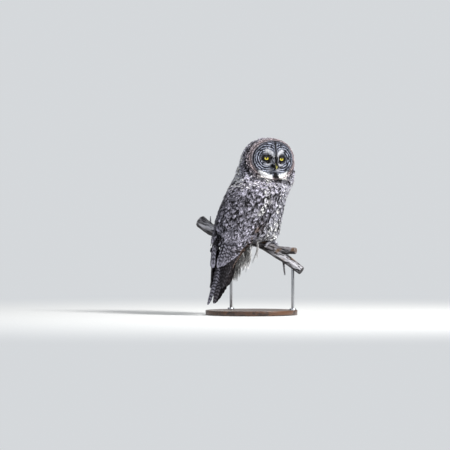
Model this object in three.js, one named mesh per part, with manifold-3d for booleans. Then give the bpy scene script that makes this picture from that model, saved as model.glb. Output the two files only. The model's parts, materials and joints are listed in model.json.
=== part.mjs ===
// A great grey owl perched on a cut length of dead branch, life size, on a plain display stand.
// Millimetres, +Z up. The body faces +X, its left is +Y, and the head looks back over the right shoulder.
// The origin is the centre of the base's underside. The owl and its perch are built about the point on the
// branch's axis midway between the feet, and the owl group is placed over the base.
import * as THREE from "three";
import { LoftGeometry } from "three/addons/geometries/LoftGeometry.js";
import { mergeVertices } from "three/addons/utils/BufferGeometryUtils.js";
import Module from "manifold-3d";

const wasm = await Module();
wasm.setup();

// Driving dimensions
const GAP = 0.35; // between pieces that touch
const SEAT_X = 45; // feet ahead of the base's centre
const SEAT_Z = 244; // branch axis above the floor at the feet
const HEAD_TURN = -107; // degrees from the body's heading, to the right
const HEAD_ROLL = -2.5;
const NECK_PIVOT = { x: 25, z: 315 };
const HEAD_REACH = 25; // disc origin ahead of the neck pivot
const EYE_R = 12;
const EYE_Y = 28;
const EYE_Z = 2;
const FOOT_SPREAD = 32; // each foot's distance along the branch from the middle
const TAIL_LEAN = 15; // degrees from vertical
const TAIL_TIP = { x: -239, z: -204 };
const TAIL_LENGTH = 300;
const BASE_R = 165;
const BASE_H = 18;
const ROD_R = 5;
const DEG = Math.PI / 180;
const UP = new THREE.Vector3(0, 0, 1);

function finish(color, roughness, metalness = 0) {
  return new THREE.MeshStandardMaterial({ color, roughness, metalness });
}
const plumage = finish(0x77716c, 0.85);
const quills = finish(0x4c4540, 0.7);
const face = finish(0x6c6d72, 0.85);
const fluff = finish(0xb9b5b0, 0.9);
const horn = finish(0xc9a93a, 0.35);
const claw = finish(0x15120f, 0.3);
const iris = finish(0xe8c62a, 0.1);
const lid = finish(0x1a1715, 0.5);
const bark = finish(0x8f8a85, 0.9);
const wood = finish(0x3a2b20, 0.45);
const steel = finish(0x8d9094, 0.3, 1);

// Solids
function solid(geometry) {
  const bare = new THREE.BufferGeometry()
    .setAttribute("position", geometry.attributes.position)
    .setIndex(geometry.index);
  const merged = mergeVertices(bare, 1e-3);
  const index = merged.index.array;
  const kept = [];
  for (let i = 0; i < index.length; i += 3) {
    const [a, b, c] = [index[i], index[i + 1], index[i + 2]];
    if (a !== b && b !== c && c !== a) kept.push(a, b, c);
  }
  const build = (triangles) =>
    new wasm.Manifold(
      new wasm.Mesh({
        numProp: 3,
        vertProperties: new Float32Array(merged.attributes.position.array),
        triVerts: new Uint32Array(triangles),
      }),
    );
  const made = build(kept);
  if (made.volume() > 0) return made;
  const turned = [];
  for (let i = 0; i < kept.length; i += 3) turned.push(kept[i], kept[i + 2], kept[i + 1]);
  return build(turned);
}

// Skin over a list of rings, turned so that its ends close it
function loft(rings) {
  const total = (ring) => ring.reduce((sum, point) => sum.add(point), new THREE.Vector3());
  const middle = (ring) => total(ring).divideScalar(ring.length);
  const spin = new THREE.Vector3();
  const turn = new THREE.Vector3();
  rings[0].forEach((point, i, ring) => spin.add(turn.crossVectors(point, ring[(i + 1) % ring.length])));
  const ahead = middle(rings[1]).sub(middle(rings[0]));
  const sections = spin.dot(ahead) < 0 ? rings.map((ring) => [...ring].reverse()) : rings;
  return new LoftGeometry(sections, { capStart: true, capEnd: true });
}

const fuse = (solids) => wasm.Manifold.union(solids);

function largest(body) {
  const pieces = body.decompose();
  return pieces.reduce((best, piece) => (piece.volume() > best.volume() ? piece : best));
}

function node(name, body, material, blend = 0.05) {
  const mesh = largest(body.simplify(blend)).getMesh();
  const geometry = new THREE.BufferGeometry()
    .setAttribute("position", new THREE.BufferAttribute(new Float32Array(mesh.vertProperties), 3))
    .setIndex(new THREE.BufferAttribute(new Uint32Array(mesh.triVerts), 1));
  geometry.computeVertexNormals();
  const piece = new THREE.Mesh(geometry, material);
  piece.name = name;
  return piece;
}

// A smooth function through stations [key, value, value, ...], sorted by key.
function stations(rows) {
  const keys = rows.map((row) => row[0]);
  const values = rows.flatMap((row) => row.slice(1));
  const count = rows[0].length - 1;
  const curve = new THREE.CubicInterpolant(keys, values, count, new Float32Array(count));
  return (key) => Array.from(curve.evaluate(key));
}

const mix = (a, b, t) => a + (b - a) * t;
const bump = (value, width) => Math.exp(-((value / width) ** 2));
const ease = (t) => THREE.MathUtils.smoothstep(t, 0, 1);

// A thin plate of a grid of cells, with both faces split alike. place(u, v, side) gives a point:
// u runs across from -1 to 1, v along from 0 to 1, and side is 1 on the outer face and 0 on the inner.
function plate(across, along, place) {
  const points = [];
  for (const side of [1, 0]) {
    for (let j = 0; j <= along; j++) {
      for (let i = 0; i <= across; i++) points.push(place((2 * i) / across - 1, j / along, side));
    }
  }
  const row = across + 1;
  const under = row * (along + 1);
  const triangles = [];
  const quad = (a, b, c, d) => triangles.push(a, b, c, b, d, c);
  for (let j = 0; j < along; j++) {
    for (let i = 0; i < across; i++) {
      const a = j * row + i;
      const b = under + a;
      quad(a, a + 1, a + row, a + row + 1);
      triangles.push(b, b + row, b + 1, b + 1, b + row, b + row + 1);
    }
    const left = j * row;
    const right = left + across;
    quad(left, left + row, under + left, under + left + row);
    quad(right + row, right, under + right + row, under + right);
  }
  const end = along * row;
  for (let i = 0; i < across; i++) {
    quad(i + 1, i, under + i + 1, under + i);
    quad(end + i, end + i + 1, under + end + i, under + end + i + 1);
  }
  return new THREE.BufferGeometry().setFromPoints(points).setIndex(triangles);
}

// A round bar along a curve. The radius is a function of the share of its length and of the angle, which
// is measured from the across direction. Growth goes on at the sides and both ends.
function bar(curve, radius, sides, steps, across, grow = 0) {
  const rings = [];
  for (let i = 0; i <= steps; i++) {
    const along = curve.getTangentAt(i / steps);
    const centre = curve.getPointAt(i / steps);
    if (i === 0) centre.addScaledVector(along, -grow);
    if (i === steps) centre.addScaledVector(along, grow);
    const first = across.clone().addScaledVector(along, -across.dot(along)).normalize();
    const second = new THREE.Vector3().crossVectors(along, first);
    const ring = [];
    for (let j = 0; j < sides; j++) {
      const angle = (j / sides) * 2 * Math.PI;
      const r = radius(i / steps, angle) + grow;
      const point = centre.clone().addScaledVector(first, r * Math.cos(angle));
      ring.push(point.addScaledVector(second, r * Math.sin(angle)));
    }
    rings.push(ring);
  }
  return loft(rings);
}

// Body outline, by height above the seat: back x, side x, front x, half width.
const trunkAt = stations([
  [14, -178, -92, 52, 72],
  [46, -184, -66, 68, 84],
  [90, -185, -58, 69, 102],
  [165, -147, -33, 82, 111],
  [230, -106, 4, 112, 114],
  [260, -92, 16, 118, 112],
]);

// Outline of the neck and the ruff behind the face, square to the turned head: front, side and back reach.
const ruffAt = stations([
  [200, 78, 108, 112],
  [236, 70, 108, 112],
  [262, 62, 110, 110],
  [284, 54, 108, 90],
  [296, 48, 101, 80],
]);

// Outline of the folded wings over the back and tail, by height: back x, side x, half width.
const sleeveAt = stations([
  [-215, -232, -200, 40],
  [-130, -224, -192, 45],
  [-92, -220, -184, 52],
  [-47, -214, -162, 66],
  [-15, -210, -137, 79],
  [16, -206, -115, 90],
  [46, -197, -93, 99],
  [90, -187, -64, 108],
  [165, -148, -33, 112],
  [230, -106, 4, 114],
  [260, -92, 16, 112],
]);

function trunkPoint(z, turn) {
  const [back, side, front, half] = trunkAt(z);
  const depth = Math.cos(turn) > 0 ? side - back : front - side;
  return new THREE.Vector3(side - depth * Math.cos(turn), half * Math.sin(turn), z);
}

// A point over the wing's outline. turn is 0 at the middle of the back and 90 degrees at the side.
function sleevePoint(z, turn, lift, side) {
  const [back, middle, half] = sleeveAt(z);
  const depth = middle - back;
  const out = new THREE.Vector2(-Math.cos(turn) / depth, Math.sin(turn) / half).normalize();
  return new THREE.Vector3(
    middle - depth * Math.cos(turn) + out.x * lift,
    side * (half * Math.sin(turn) + out.y * lift),
    z,
  );
}

const TRUNK_TOP = 298;
const TRUNK_BOTTOM = 14;
const BOTTOM_ROUND = 34; // height over which the belly rounds in
const RUFF_FROM = 196; // height at which the body starts to turn into the neck
const RUFF_TO = 262;
const RUFF_LATE = 26; // how much higher that comes at the nape

const fromFace = (turn) => 180 * DEG - turn - HEAD_TURN * DEG;

function ruffPoint(z, turn) {
  const [front, half, back] = ruffAt(z);
  const angle = fromFace(turn);
  const [ahead, aside] = [Math.cos(angle), Math.sin(angle)];
  const reach = 1 / Math.hypot(ahead / (ahead > 0 ? front : back), aside / half);
  return new THREE.Vector3(NECK_PIVOT.x - reach * Math.cos(turn), reach * Math.sin(turn), z);
}

function trunk(low, high) {
  const sides = 28;
  const levels = [];
  for (let k = 0; k <= 4; k++) levels.push(low + BOTTOM_ROUND * (1 - Math.cos((k / 4) * 90 * DEG)));
  const rest = 7;
  for (let k = 1; k <= rest; k++) levels.push(mix(low + BOTTOM_ROUND, high, k / rest));
  const sections = levels.map((z) => {
    const drop = Math.max(0, 1 - (z - low) / BOTTOM_ROUND);
    const round = Math.max(0.3, Math.sqrt(1 - drop * drop));
    const middle = trunkAt(z)[1];
    const ring = [];
    for (let j = 0; j < sides; j++) {
      const turn = (j / sides) * 2 * Math.PI;
      const late = RUFF_LATE * ease((0.1 - Math.cos(fromFace(turn))) / 0.5);
      const neck = ease((z - RUFF_FROM - late) / (RUFF_TO - RUFF_FROM));
      const point = trunkPoint(z, turn).lerp(ruffPoint(z, turn), neck);
      ring.push(new THREE.Vector3(mix(middle, point.x, round), point.y * round, z));
    }
    return ring;
  });
  return solid(loft(sections));
}

// The vent and rump, from the belly back to the tail's root
function rump() {
  const path = new THREE.CatmullRomCurve3([
    new THREE.Vector3(-62, 0, 96),
    new THREE.Vector3(-104, 0, 50),
    new THREE.Vector3(-146, 0, 6),
    new THREE.Vector3(-170, 0, -34),
  ]);
  const sections = [];
  const steps = 8;
  for (let i = 0; i <= steps; i++) {
    const t = i / steps;
    const centre = path.getPointAt(t);
    const along = path.getTangentAt(t);
    const across = new THREE.Vector3(along.z, 0, -along.x);
    const half = mix(84, 34, ease(t));
    const deep = mix(58, 22, ease(t));
    const ring = [];
    for (let j = 0; j < 16; j++) {
      const angle = (j / 16) * 2 * Math.PI;
      ring.push(
        centre
          .clone()
          .addScaledVector(across, deep * Math.cos(angle))
          .add(new THREE.Vector3(0, half * Math.sin(angle), 0)),
      );
    }
    sections.push(ring);
  }
  return solid(loft(sections));
}

// Head, in its own frame: +x out of the face, +y the owl's left, +z up, and the origin between the eyes
// inside the disc.
const headPose = new THREE.Matrix4()
  .makeTranslation(
    NECK_PIVOT.x + HEAD_REACH * Math.cos(HEAD_TURN * DEG),
    HEAD_REACH * Math.sin(HEAD_TURN * DEG),
    NECK_PIVOT.z,
  )
  .multiply(new THREE.Matrix4().makeRotationZ(HEAD_TURN * DEG))
  .multiply(new THREE.Matrix4().makeRotationX(HEAD_ROLL * DEG));
const inHead = (geometry) => geometry.applyMatrix4(headPose);

const DISC = { half: 79, up: 66, down: 65, sideX: 30, topX: 44, middleX: 57 };
const SKULL = { half: 98, up: 78, down: 72, x: -18, deep: 98, droop: 38, jowl: 0.3 };

function faceX(y, z) {
  const high = z > 0 ? DISC.up : DISC.down;
  const q = Math.min(1, Math.hypot(y / DISC.half, z / high));
  const lean = q > 0 ? (z / high / q) ** 2 : 0;
  const rim = mix(DISC.sideX, DISC.topX, lean);
  const form = rim + (DISC.middleX - rim) * (1 - q ** 1.6);
  const bowl = 11 * bump(Math.abs(y) - 32, 20) * bump(z - EYE_Z, 27);
  const ridge = 8 * bump(y, 9) * ease((z + 34) / 30) * ease((70 - z) / 60);
  const brow = 4 * bump(Math.abs(y) - 14, 7) * bump(z - 13, 15);
  const lip = 5 * bump(q - 0.96, 0.07);
  return form - bowl + ridge + brow + lip - 5 * bump(1 - q, 0.03);
}

function headShell() {
  const sides = 34;
  const sections = [];
  const turns = Array.from({ length: sides }, (_, j) => (j / sides) * 2 * Math.PI);
  const ring = (place) => sections.push(turns.map(place));
  const reach = (turn, form) => {
    const high = Math.sin(turn) > 0 ? form.up : form.down;
    const jowl = 1 + (form.jowl ?? 0) * Math.max(0, -Math.sin(turn));
    return [form.half * Math.cos(turn) * jowl, high * Math.sin(turn)];
  };
  for (let k = 0; k <= 5; k++) {
    const swing = mix(12, 90, k / 5) * DEG;
    ring((turn) => {
      const [y, z] = reach(turn, SKULL);
      const wide = Math.sin(swing);
      const back = Math.cos(swing);
      return new THREE.Vector3(SKULL.x - SKULL.deep * back, y * wide, z * wide - SKULL.droop * back);
    });
  }
  for (let k = 1; k <= 3; k++) {
    const swing = ((k / 3) * Math.PI) / 2;
    ring((turn) => {
      const [wideY, wideZ] = reach(turn, SKULL);
      const [y, z] = reach(turn, DISC);
      const inward = Math.cos(swing);
      return new THREE.Vector3(
        mix(SKULL.x, faceX(y * 0.999, z * 0.999), Math.sin(swing)),
        mix(y, wideY, inward),
        mix(z, wideZ, inward),
      );
    });
  }
  for (const q of [0.92, 0.8, 0.66, 0.52, 0.38, 0.24, 0.1]) {
    ring((turn) => {
      const [y, z] = reach(turn, DISC);
      return new THREE.Vector3(faceX(y * q, z * q), y * q, z * q);
    });
  }
  return solid(inHead(loft(sections)));
}

// Eyes, lids and bill
function eyePlace(side, dip = 0) {
  const deep = faceX(EYE_Y, EYE_Z) - 8;
  return new THREE.Matrix4()
    .makeTranslation(deep, side * EYE_Y, EYE_Z)
    .multiply(new THREE.Matrix4().makeRotationZ(side * 9 * DEG))
    .multiply(new THREE.Matrix4().makeRotationY(dip * DEG));
}

function eyeBall(side, radius) {
  const ball = new THREE.SphereGeometry(radius, 14, 8).rotateZ(-90 * DEG);
  return solid(inHead(ball.applyMatrix4(eyePlace(side))));
}

const LID_THICK = 2;
const LID_CLEAR = 0.8; // room for the eye inside the lid's flat facets
const LID_OPEN = 37; // degrees from the eye's axis to the lid's edge

function eyeLid(side) {
  const inner = EYE_R + LID_CLEAR;
  const profile = [];
  const steps = 3;
  for (let k = 0; k <= steps; k++) {
    const a = mix(LID_OPEN, 104, k / steps) * DEG;
    profile.push(new THREE.Vector2(inner * Math.sin(a), inner * Math.cos(a)));
  }
  for (let k = steps; k >= 0; k--) {
    const a = mix(LID_OPEN, 104, k / steps) * DEG;
    const r = inner + LID_THICK;
    profile.push(new THREE.Vector2(r * Math.sin(a), r * Math.cos(a)));
  }
  profile.push(profile[0].clone());
  const band = new THREE.LatheGeometry(profile, 14).rotateZ(-90 * DEG);
  return solid(inHead(band.applyMatrix4(eyePlace(side, 5))));
}

// A mandible: stations of x, z, half width and half height in the head's middle plane
function mandible(rows, grow = 0) {
  const path = new THREE.CatmullRomCurve3(rows.map(([x, z]) => new THREE.Vector3(x, 0, z)));
  const steps = 7;
  const sections = [];
  for (let i = 0; i <= steps; i++) {
    const t = i / steps;
    const centre = path.getPoint(t);
    const along = path.getTangent(t);
    const across = new THREE.Vector3(-along.z, 0, along.x);
    const place = t * (rows.length - 1);
    const low = rows[Math.floor(place)];
    const high = rows[Math.min(rows.length - 1, Math.floor(place) + 1)];
    const share = place - Math.floor(place);
    const half = mix(low[2], high[2], share) + grow;
    const deep = mix(low[3], high[3], share) + grow;
    const ring = [];
    for (let j = 0; j < 10; j++) {
      const angle = (j / 10) * 2 * Math.PI;
      ring.push(
        centre
          .clone()
          .addScaledVector(across, deep * Math.cos(angle))
          .add(new THREE.Vector3(0, half * Math.sin(angle), 0)),
      );
    }
    sections.push(ring);
  }
  return solid(inHead(loft(sections)));
}

const UPPER_BILL = [
  [40, -4, 7.5, 8],
  [58, -6, 7.2, 7.6],
  [68, -15, 5.8, 6.2],
  [70, -27, 3.8, 3.8],
  [65, -37, 0.7, 0.9],
];
const LOWER_BILL = [
  [40, -21, 5.2, 3.6],
  [52, -24, 5, 3.2],
  [60, -29, 3.6, 2.4],
  [63, -33, 1, 1],
];

function nostril(side) {
  const hole = new THREE.SphereGeometry(1.8, 6, 5).scale(1, 1, 1.3);
  return solid(inHead(hole.translate(63, side * 6.6, -9)));
}

// Perch: the branch's axis and radius by distance towards the owl's left, with its height above the seat
const perchHeading = new THREE.Vector3(-0.375, 0.927, 0);
const PERCH_LINE = [
  [-162, -85],
  [-120, -56],
  [-60, -18],
  [0, 14],
  [106, 38],
  [198, 60],
  [250, 94],
];
const perchAxis = new THREE.CatmullRomCurve3(
  PERCH_LINE.map(([along, z]) => perchHeading.clone().multiplyScalar(along).addScaledVector(UP, z)),
);
const perchThick = stations([
  [-162, 15.5],
  [-60, 17.5],
  [0, 20],
  [106, 19.5],
  [198, 19.5],
  [250, 23],
]);
const PERCH_SIDES = 10;
const PERCH_STEPS = 16;

// Where the axis is, at a distance along its heading: the point and its direction
function perchAt(along) {
  let low = 0;
  let high = 1;
  for (let i = 0; i < 30; i++) {
    const share = (low + high) / 2;
    if (perchAxis.getPointAt(share).dot(perchHeading) < along) low = share;
    else high = share;
  }
  return { point: perchAxis.getPointAt(low), along: perchAxis.getTangentAt(low) };
}

function perchRadius(share, angle = 0) {
  const along = perchAxis.getPointAt(share).dot(perchHeading);
  const knots = 3 * bump(along + 62, 26) + 1.5 * bump(along - 205, 16);
  const bent = 0.9 * Math.sin(3 * angle + 5 * share) + 0.6 * Math.sin(5 * angle - 9 * share);
  return perchThick(along)[0] + knots + bent * (1 - bump(along, 60));
}

function branchBar(grow) {
  return solid(bar(perchAxis, perchRadius, PERCH_SIDES, PERCH_STEPS, UP, grow));
}

function twig(from, to, thick, thin) {
  const path = new THREE.LineCurve3(from, new THREE.Vector3(...to).add(from));
  return solid(bar(path, (t) => mix(thick, thin, t), 8, 3, new THREE.Vector3(1, 0.2, 0.1)));
}

function perch() {
  const main = branchBar(0);
  const hanging = perchAt(-88).point;
  const fork = perchAt(-46).point;
  const left = perchAt(205).point;
  return fuse([
    main,
    twig(fork, [35, -88, -4], 16, 12),
    twig(hanging, [8, -2, -66], 5, 3),
    twig(left, [6, 10, 48], 4, 2.4),
  ]);
}

// Feet: each toe is an arc round the branch, with a claw that goes on from it
const TOES = [
  { name: "inner", turn: 98, start: -7, splay: -13, thick: 8 },
  { name: "middle", turn: 112, start: 1, splay: 2, thick: 8.4 },
  { name: "outer", turn: 84, start: 8, splay: 24, thick: 7.8 },
  { name: "hind", turn: -88, start: 0, splay: -4, thick: 7.6 },
];
const CLAW_TURN = 52;
const TOE_LIFT = 0.8; // toe clear of the bark

class RoundBranch extends THREE.Curve {
  constructor(seat, radius, toe, from, to, sink) {
    super();
    Object.assign(this, { seat, radius, toe, from, to, sink });
  }
  getPoint(t, target = new THREE.Vector3()) {
    const share = mix(this.from, this.to, t);
    const angle = share * this.toe.turn * DEG;
    const { point, along, ahead, up } = this.seat;
    const radius = this.radius + (this.sink ? this.sink(t) : 0);
    return target
      .copy(point)
      .addScaledVector(along, this.toe.side * mix(this.toe.start, this.toe.splay, share))
      .addScaledVector(up, radius * Math.cos(angle))
      .addScaledVector(ahead, radius * Math.sin(angle));
  }
}

function footSeat(side) {
  const { point, along } = perchAt(side * FOOT_SPREAD);
  const ahead = new THREE.Vector3().crossVectors(along, new THREE.Vector3(0, 0, 1)).normalize();
  const up = new THREE.Vector3().crossVectors(ahead, along).normalize();
  return { point, along, ahead, up, radius: perchThick(side * FOOT_SPREAD)[0] };
}

function foot(side, grow = 0) {
  const seat = footSeat(side);
  const parts = TOES.map((shape) => {
    const toe = { ...shape, side };
    const track = seat.radius + TOE_LIFT + toe.thick;
    const path = new RoundBranch(seat, track, toe, 0, 1, (t) => -2.4 * t);
    const knuckles = (t) => toe.thick * (1 - 0.3 * t) + 0.7 * Math.cos(t * 14) * (1 - t) - 0.7;
    return solid(bar(path, knuckles, 6, 6, seat.along, grow));
  });
  const ankle = seat.point.clone().addScaledVector(seat.up, seat.radius + 12);
  const pad = new THREE.SphereGeometry(12.5 + grow, 10, 6).scale(1, 1.15, 0.86);
  parts.push(solid(pad.translate(ankle.x, ankle.y, ankle.z)));
  return fuse(parts);
}

// Room for a foot and its claws in the underside of the belly
function footRoom(side) {
  const seat = footSeat(side);
  const middle = seat.point.clone().addScaledVector(seat.up, 14).addScaledVector(seat.ahead, 2);
  const ball = new THREE.SphereGeometry(43, 12, 8);
  return solid(ball.translate(middle.x, middle.y, middle.z));
}

function clawOf(side, shape) {
  const seat = footSeat(side);
  const toe = { ...shape, side };
  const track = seat.radius + TOE_LIFT + toe.thick - 2.4;
  const end = 1 + CLAW_TURN / Math.abs(toe.turn);
  const path = new RoundBranch(seat, track, toe, 0.97, end, (t) => 2.5 * Math.sin(Math.PI * t) - 2.4 * t);
  return solid(bar(path, (t) => mix(4.3, 0.5, t ** 0.8), 6, 5, seat.along));
}

const LEG_TOP = 104;

function leg(side, grow = 0) {
  const seat = footSeat(side);
  const ankle = seat.point.clone().addScaledVector(seat.up, seat.radius + 13);
  const path = new THREE.CatmullRomCurve3([
    ankle,
    new THREE.Vector3(mix(ankle.x, -16, 0.4), mix(ankle.y, side * 40, 0.4), mix(ankle.z, LEG_TOP, 0.4)),
    new THREE.Vector3(-30, side * 44, LEG_TOP),
  ]);
  return solid(bar(path, (t) => mix(19, 34, ease(t * 1.3)), 12, 5, new THREE.Vector3(0, 1, 0), grow));
}

// Folded wing. Edges of the wing by height: upper edge next to the back, and front edge, in degrees
// of turn.
const wingEdgesAt = stations([
  [-20, 4, 84],
  [16, 5, 86],
  [46, 6, 86],
  [90, 14, 88],
  [165, 36, 98],
  [200, 50, 106],
  [216, 60, 106],
]);
const WING_TOP = 213;
const WING_LOW = -12;
const WING_OUT = -5; // outer face of the wing's body, under the outline
const WING_IN = -15;

// The wing's edges at a height, drawn in towards its top
function wingSpan(z, top = WING_TOP) {
  const [upper, front] = wingEdgesAt(z);
  const middle = (upper + front) / 2;
  const open = mix(0.6, 1, ease((top + 4 - z) / 40));
  return [mix(middle, upper, open), mix(middle, front, open)];
}

function wingBody(side, margin = 0, inner = WING_IN, outer = WING_OUT, spread = 0) {
  const sections = [];
  const steps = 8;
  for (let i = 0; i <= steps; i++) {
    const z = mix(WING_LOW - margin, WING_TOP + margin, i / steps);
    const [upper, front] = wingSpan(z, WING_TOP + margin);
    const from = (upper - spread) * DEG;
    const to = (front + spread) * DEG;
    const outline = [];
    const cells = 4;
    for (let j = 0; j <= cells; j++) {
      const thin = j === 0 || j === cells ? 2.2 : 0;
      outline.push(sleevePoint(z, mix(from, to, j / cells), outer - thin, side));
    }
    for (let j = cells; j >= 0; j--) {
      const thin = j === 0 || j === cells ? 2.2 : 0;
      outline.push(sleevePoint(z, mix(from, to, j / cells), inner + thin, side));
    }
    sections.push(outline);
  }
  return solid(loft(sections));
}

const VANE_THICK = 1.1;
const VANE_TILT = 2; // each front edge lies over the next feather

// A feather's share of its full width, by share of its length: narrow at the root and round at the tip
function vaneWidth(v) {
  const root = mix(0.62, 1, ease(v * 2.2));
  const past = Math.max(0, (v - 0.55) / 0.47);
  return root * Math.sqrt(Math.max(0.03, 1 - past ** 4));
}

// A feather laid on the wing: from and to are [height, turn], and lifts are over the outline at root
// and tip.
function wingVane(side, from, to, width, lifts, along) {
  return solid(
    plate(2, along, (u, v, outer) => {
      const z = mix(from[0], to[0], v);
      const turn = mix(from[1], to[1], v) * DEG;
      const [back, middle, half] = sleeveAt(z);
      const arc = Math.hypot((middle - back) * Math.sin(turn), half * Math.cos(turn));
      const across = (u * width * vaneWidth(v)) / 2;
      const [upper, front] = wingSpan(z);
      const free = 16 * ease((30 - z) / 40);
      const low = (upper - free / 2) * DEG;
      const high = (front + free) * DEG;
      const angle = THREE.MathUtils.clamp(turn + across / arc, low, high);
      const crown = 0.3 * (1 - u * u);
      const lift = mix(lifts[0], lifts[1], ease(v)) + VANE_TILT * u + crown - (outer ? 0 : VANE_THICK);
      return sleevePoint(z, angle, lift, side);
    }),
  );
}

// Rows of the wing, from the lowest layer out. Each feather starts and ends between the row's ends, which
// are [height, turn], and bow lets the middle ones reach lower.
const primaries = {
  from: [[20, 70], [34, 44]],
  to: [[-86, 82], [-138, 44]],
  count: 6,
  width: 26,
  lifts: [-9, -5.5],
  along: 5,
  bow: 26,
};
const secondaries = {
  from: [[52, 72], [70, 22]],
  to: [[-34, 66], [-72, 14]],
  count: 6,
  width: 32,
  lifts: [-7.5, -2.4],
  along: 4,
  bow: 10,
};
const greaterCoverts = {
  from: [[106, 80], [116, 26]],
  to: [[34, 80], [22, 19]],
  count: 6,
  width: 37,
  lifts: [-6.5, 0],
  along: 3,
  bow: 6,
};
const medianCoverts = {
  from: [[152, 86], [160, 44]],
  to: [[88, 82], [82, 28]],
  count: 5,
  width: 42,
  lifts: [-6.5, 0.8],
  along: 3,
  bow: 4,
};
const lesserCoverts = {
  from: [[194, 96], [198, 64]],
  to: [[134, 90], [128, 50]],
  count: 4,
  width: 46,
  lifts: [-6.5, 1],
  along: 3,
  bow: 3,
};

function wing(side) {
  const parts = [wingBody(side)];
  for (const row of [primaries, secondaries, greaterCoverts, medianCoverts, lesserCoverts]) {
    for (let k = 0; k < row.count; k++) {
      const share = k / (row.count - 1);
      const sway = row.bow * Math.sin(Math.PI * share);
      const from = row.from[0].map((value, i) => mix(value, row.from[1][i], share));
      const to = row.to[0].map((value, i) => mix(value, row.to[1][i], share) - (i ? 0 : sway));
      parts.push(wingVane(side, from, to, row.width, row.lifts, row.along));
    }
  }
  return fuse(parts);
}

// Tail, by distance from its root, across and out of its upper face
const tailAlong = new THREE.Vector3(-Math.sin(TAIL_LEAN * DEG), 0, -Math.cos(TAIL_LEAN * DEG));
const tailOut = new THREE.Vector3(-Math.cos(TAIL_LEAN * DEG), 0, Math.sin(TAIL_LEAN * DEG));
const tailRoot = new THREE.Vector3(TAIL_TIP.x, 0, TAIL_TIP.z).addScaledVector(tailAlong, -TAIL_LENGTH);
const TAIL_HALF = 46;
const TAIL_CUT = 92; // where the tail leaves the rump
const TAIL_ARCH = 11;
const TAIL_BOW = 10; // how far the tail bends in under the wing tips

function tailPoint(along, across, lift) {
  const arch = TAIL_ARCH * (across / TAIL_HALF) ** 2;
  const bend = TAIL_BOW * Math.sin(Math.PI * (along / TAIL_LENGTH) ** 1.3);
  return tailRoot
    .clone()
    .addScaledVector(tailAlong, along)
    .addScaledVector(tailOut, lift - arch - bend)
    .add(new THREE.Vector3(0, across, 0));
}

function tailCore(grow = 0) {
  const sections = [];
  const steps = 6;
  for (let i = 0; i <= steps; i++) {
    const t = i / steps;
    const along = mix(TAIL_CUT - 20, 150, t);
    const half = mix(26, 27, t) + grow;
    const thick = mix(15, 8.5, t) / 2 + grow;
    const ring = [];
    for (let j = 0; j < 16; j++) {
      const angle = (j / 16) * 2 * Math.PI;
      ring.push(tailPoint(along, half * Math.cos(angle), -4.5 + thick * Math.sin(angle)));
    }
    sections.push(ring);
  }
  return solid(loft(sections));
}

// Six feathers a side, the middle pair on top, each lower and shorter than the last
function tail() {
  const parts = [tailCore()];
  for (const side of [1, -1]) {
    for (let k = 0; k < 6; k++) {
      const edge = 27 + 3.8 * k;
      const inner = k === 0 && side === 1 ? -7 : 0.6;
      const end = TAIL_LENGTH - 1.2 * k * k - (side === 1 ? 0 : 3);
      const level = -1.45 * k - (k === 0 && side === 1 ? 0 : 1.45);
      parts.push(
        solid(
          plate(2, 5, (u, v, outer) => {
            const along = mix(TAIL_CUT + 24, end, v);
            const slim = ease(v);
            const blunt = vaneWidth(v);
            const outerEdge = mix(16 + k, edge, slim);
            const middle = mix(inner, outerEdge, 0.62);
            const reach = u < 0 ? middle - inner : outerEdge - middle;
            const across = side * (middle + u * reach * blunt);
            return tailPoint(along, across, level - (outer ? 0 : VANE_THICK));
          }),
        ),
      );
    }
  }
  return fuse(parts);
}

// Loose plumes under the belly and tail: flat locks that hang from the vent, by share of the way back
const plumeAt = stations([
  [0, -52, 50, 46, -34],
  [0.3, -78, 40, 30, -86],
  [0.55, -100, 31, 16, -78],
  [0.8, -124, 22, 0, -116],
  [1, -140, 12, -14, -100],
]);
const PLUME_PAIRS = 7;

function plumes() {
  const locks = [];
  for (const side of [1, -1]) {
    for (let k = 0; k < PLUME_PAIRS; k++) {
      const share = k / (PLUME_PAIRS - 1);
      const [x, y, top, tip] = plumeAt(share);
      const turn = side * mix(-62, -12, share) * DEG;
      const across = new THREE.Vector3(Math.sin(turn), Math.cos(turn), 0);
      const out = new THREE.Vector3(Math.cos(turn), -Math.sin(turn), 0);
      const width = mix(24, 18, share);
      const sway = side * 6 * Math.sin(k * 2.4);
      locks.push(
        solid(
          plate(2, 4, (u, v, outer) => {
            const point = new THREE.Vector3(x - 8 * v * v, side * y + sway * v * v, mix(top, tip, v));
            point.addScaledVector(across, (u * width * mix(1, 0.14, v ** 1.5)) / 2);
            return point.addScaledVector(out, (outer ? 1 : -1) * mix(1.6, 0.5, v) - 2.5 * u * u);
          }),
        ),
      );
    }
  }
  return locks;
}

// Put together
const owl = new THREE.Group();
owl.position.set(SEAT_X, 0, SEAT_Z);
const NECK_LOW = 214;
const NECK_TOP = 245;
const grownLegs = fuse([leg(1, GAP), leg(-1, GAP)]);
const wingRoom = fuse([1, -1].map((side) => wingBody(side, 3, WING_IN - GAP, 26, 0.8)));
const tailPlane = [tailAlong.x, 0, tailAlong.z];
const tailCutAt = tailRoot.clone().addScaledVector(tailAlong, TAIL_CUT).dot(tailAlong);
const grownPerch = branchBar(GAP);
const perchRoom = fuse([branchBar(1), footRoom(1), footRoom(-1)]);

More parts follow.
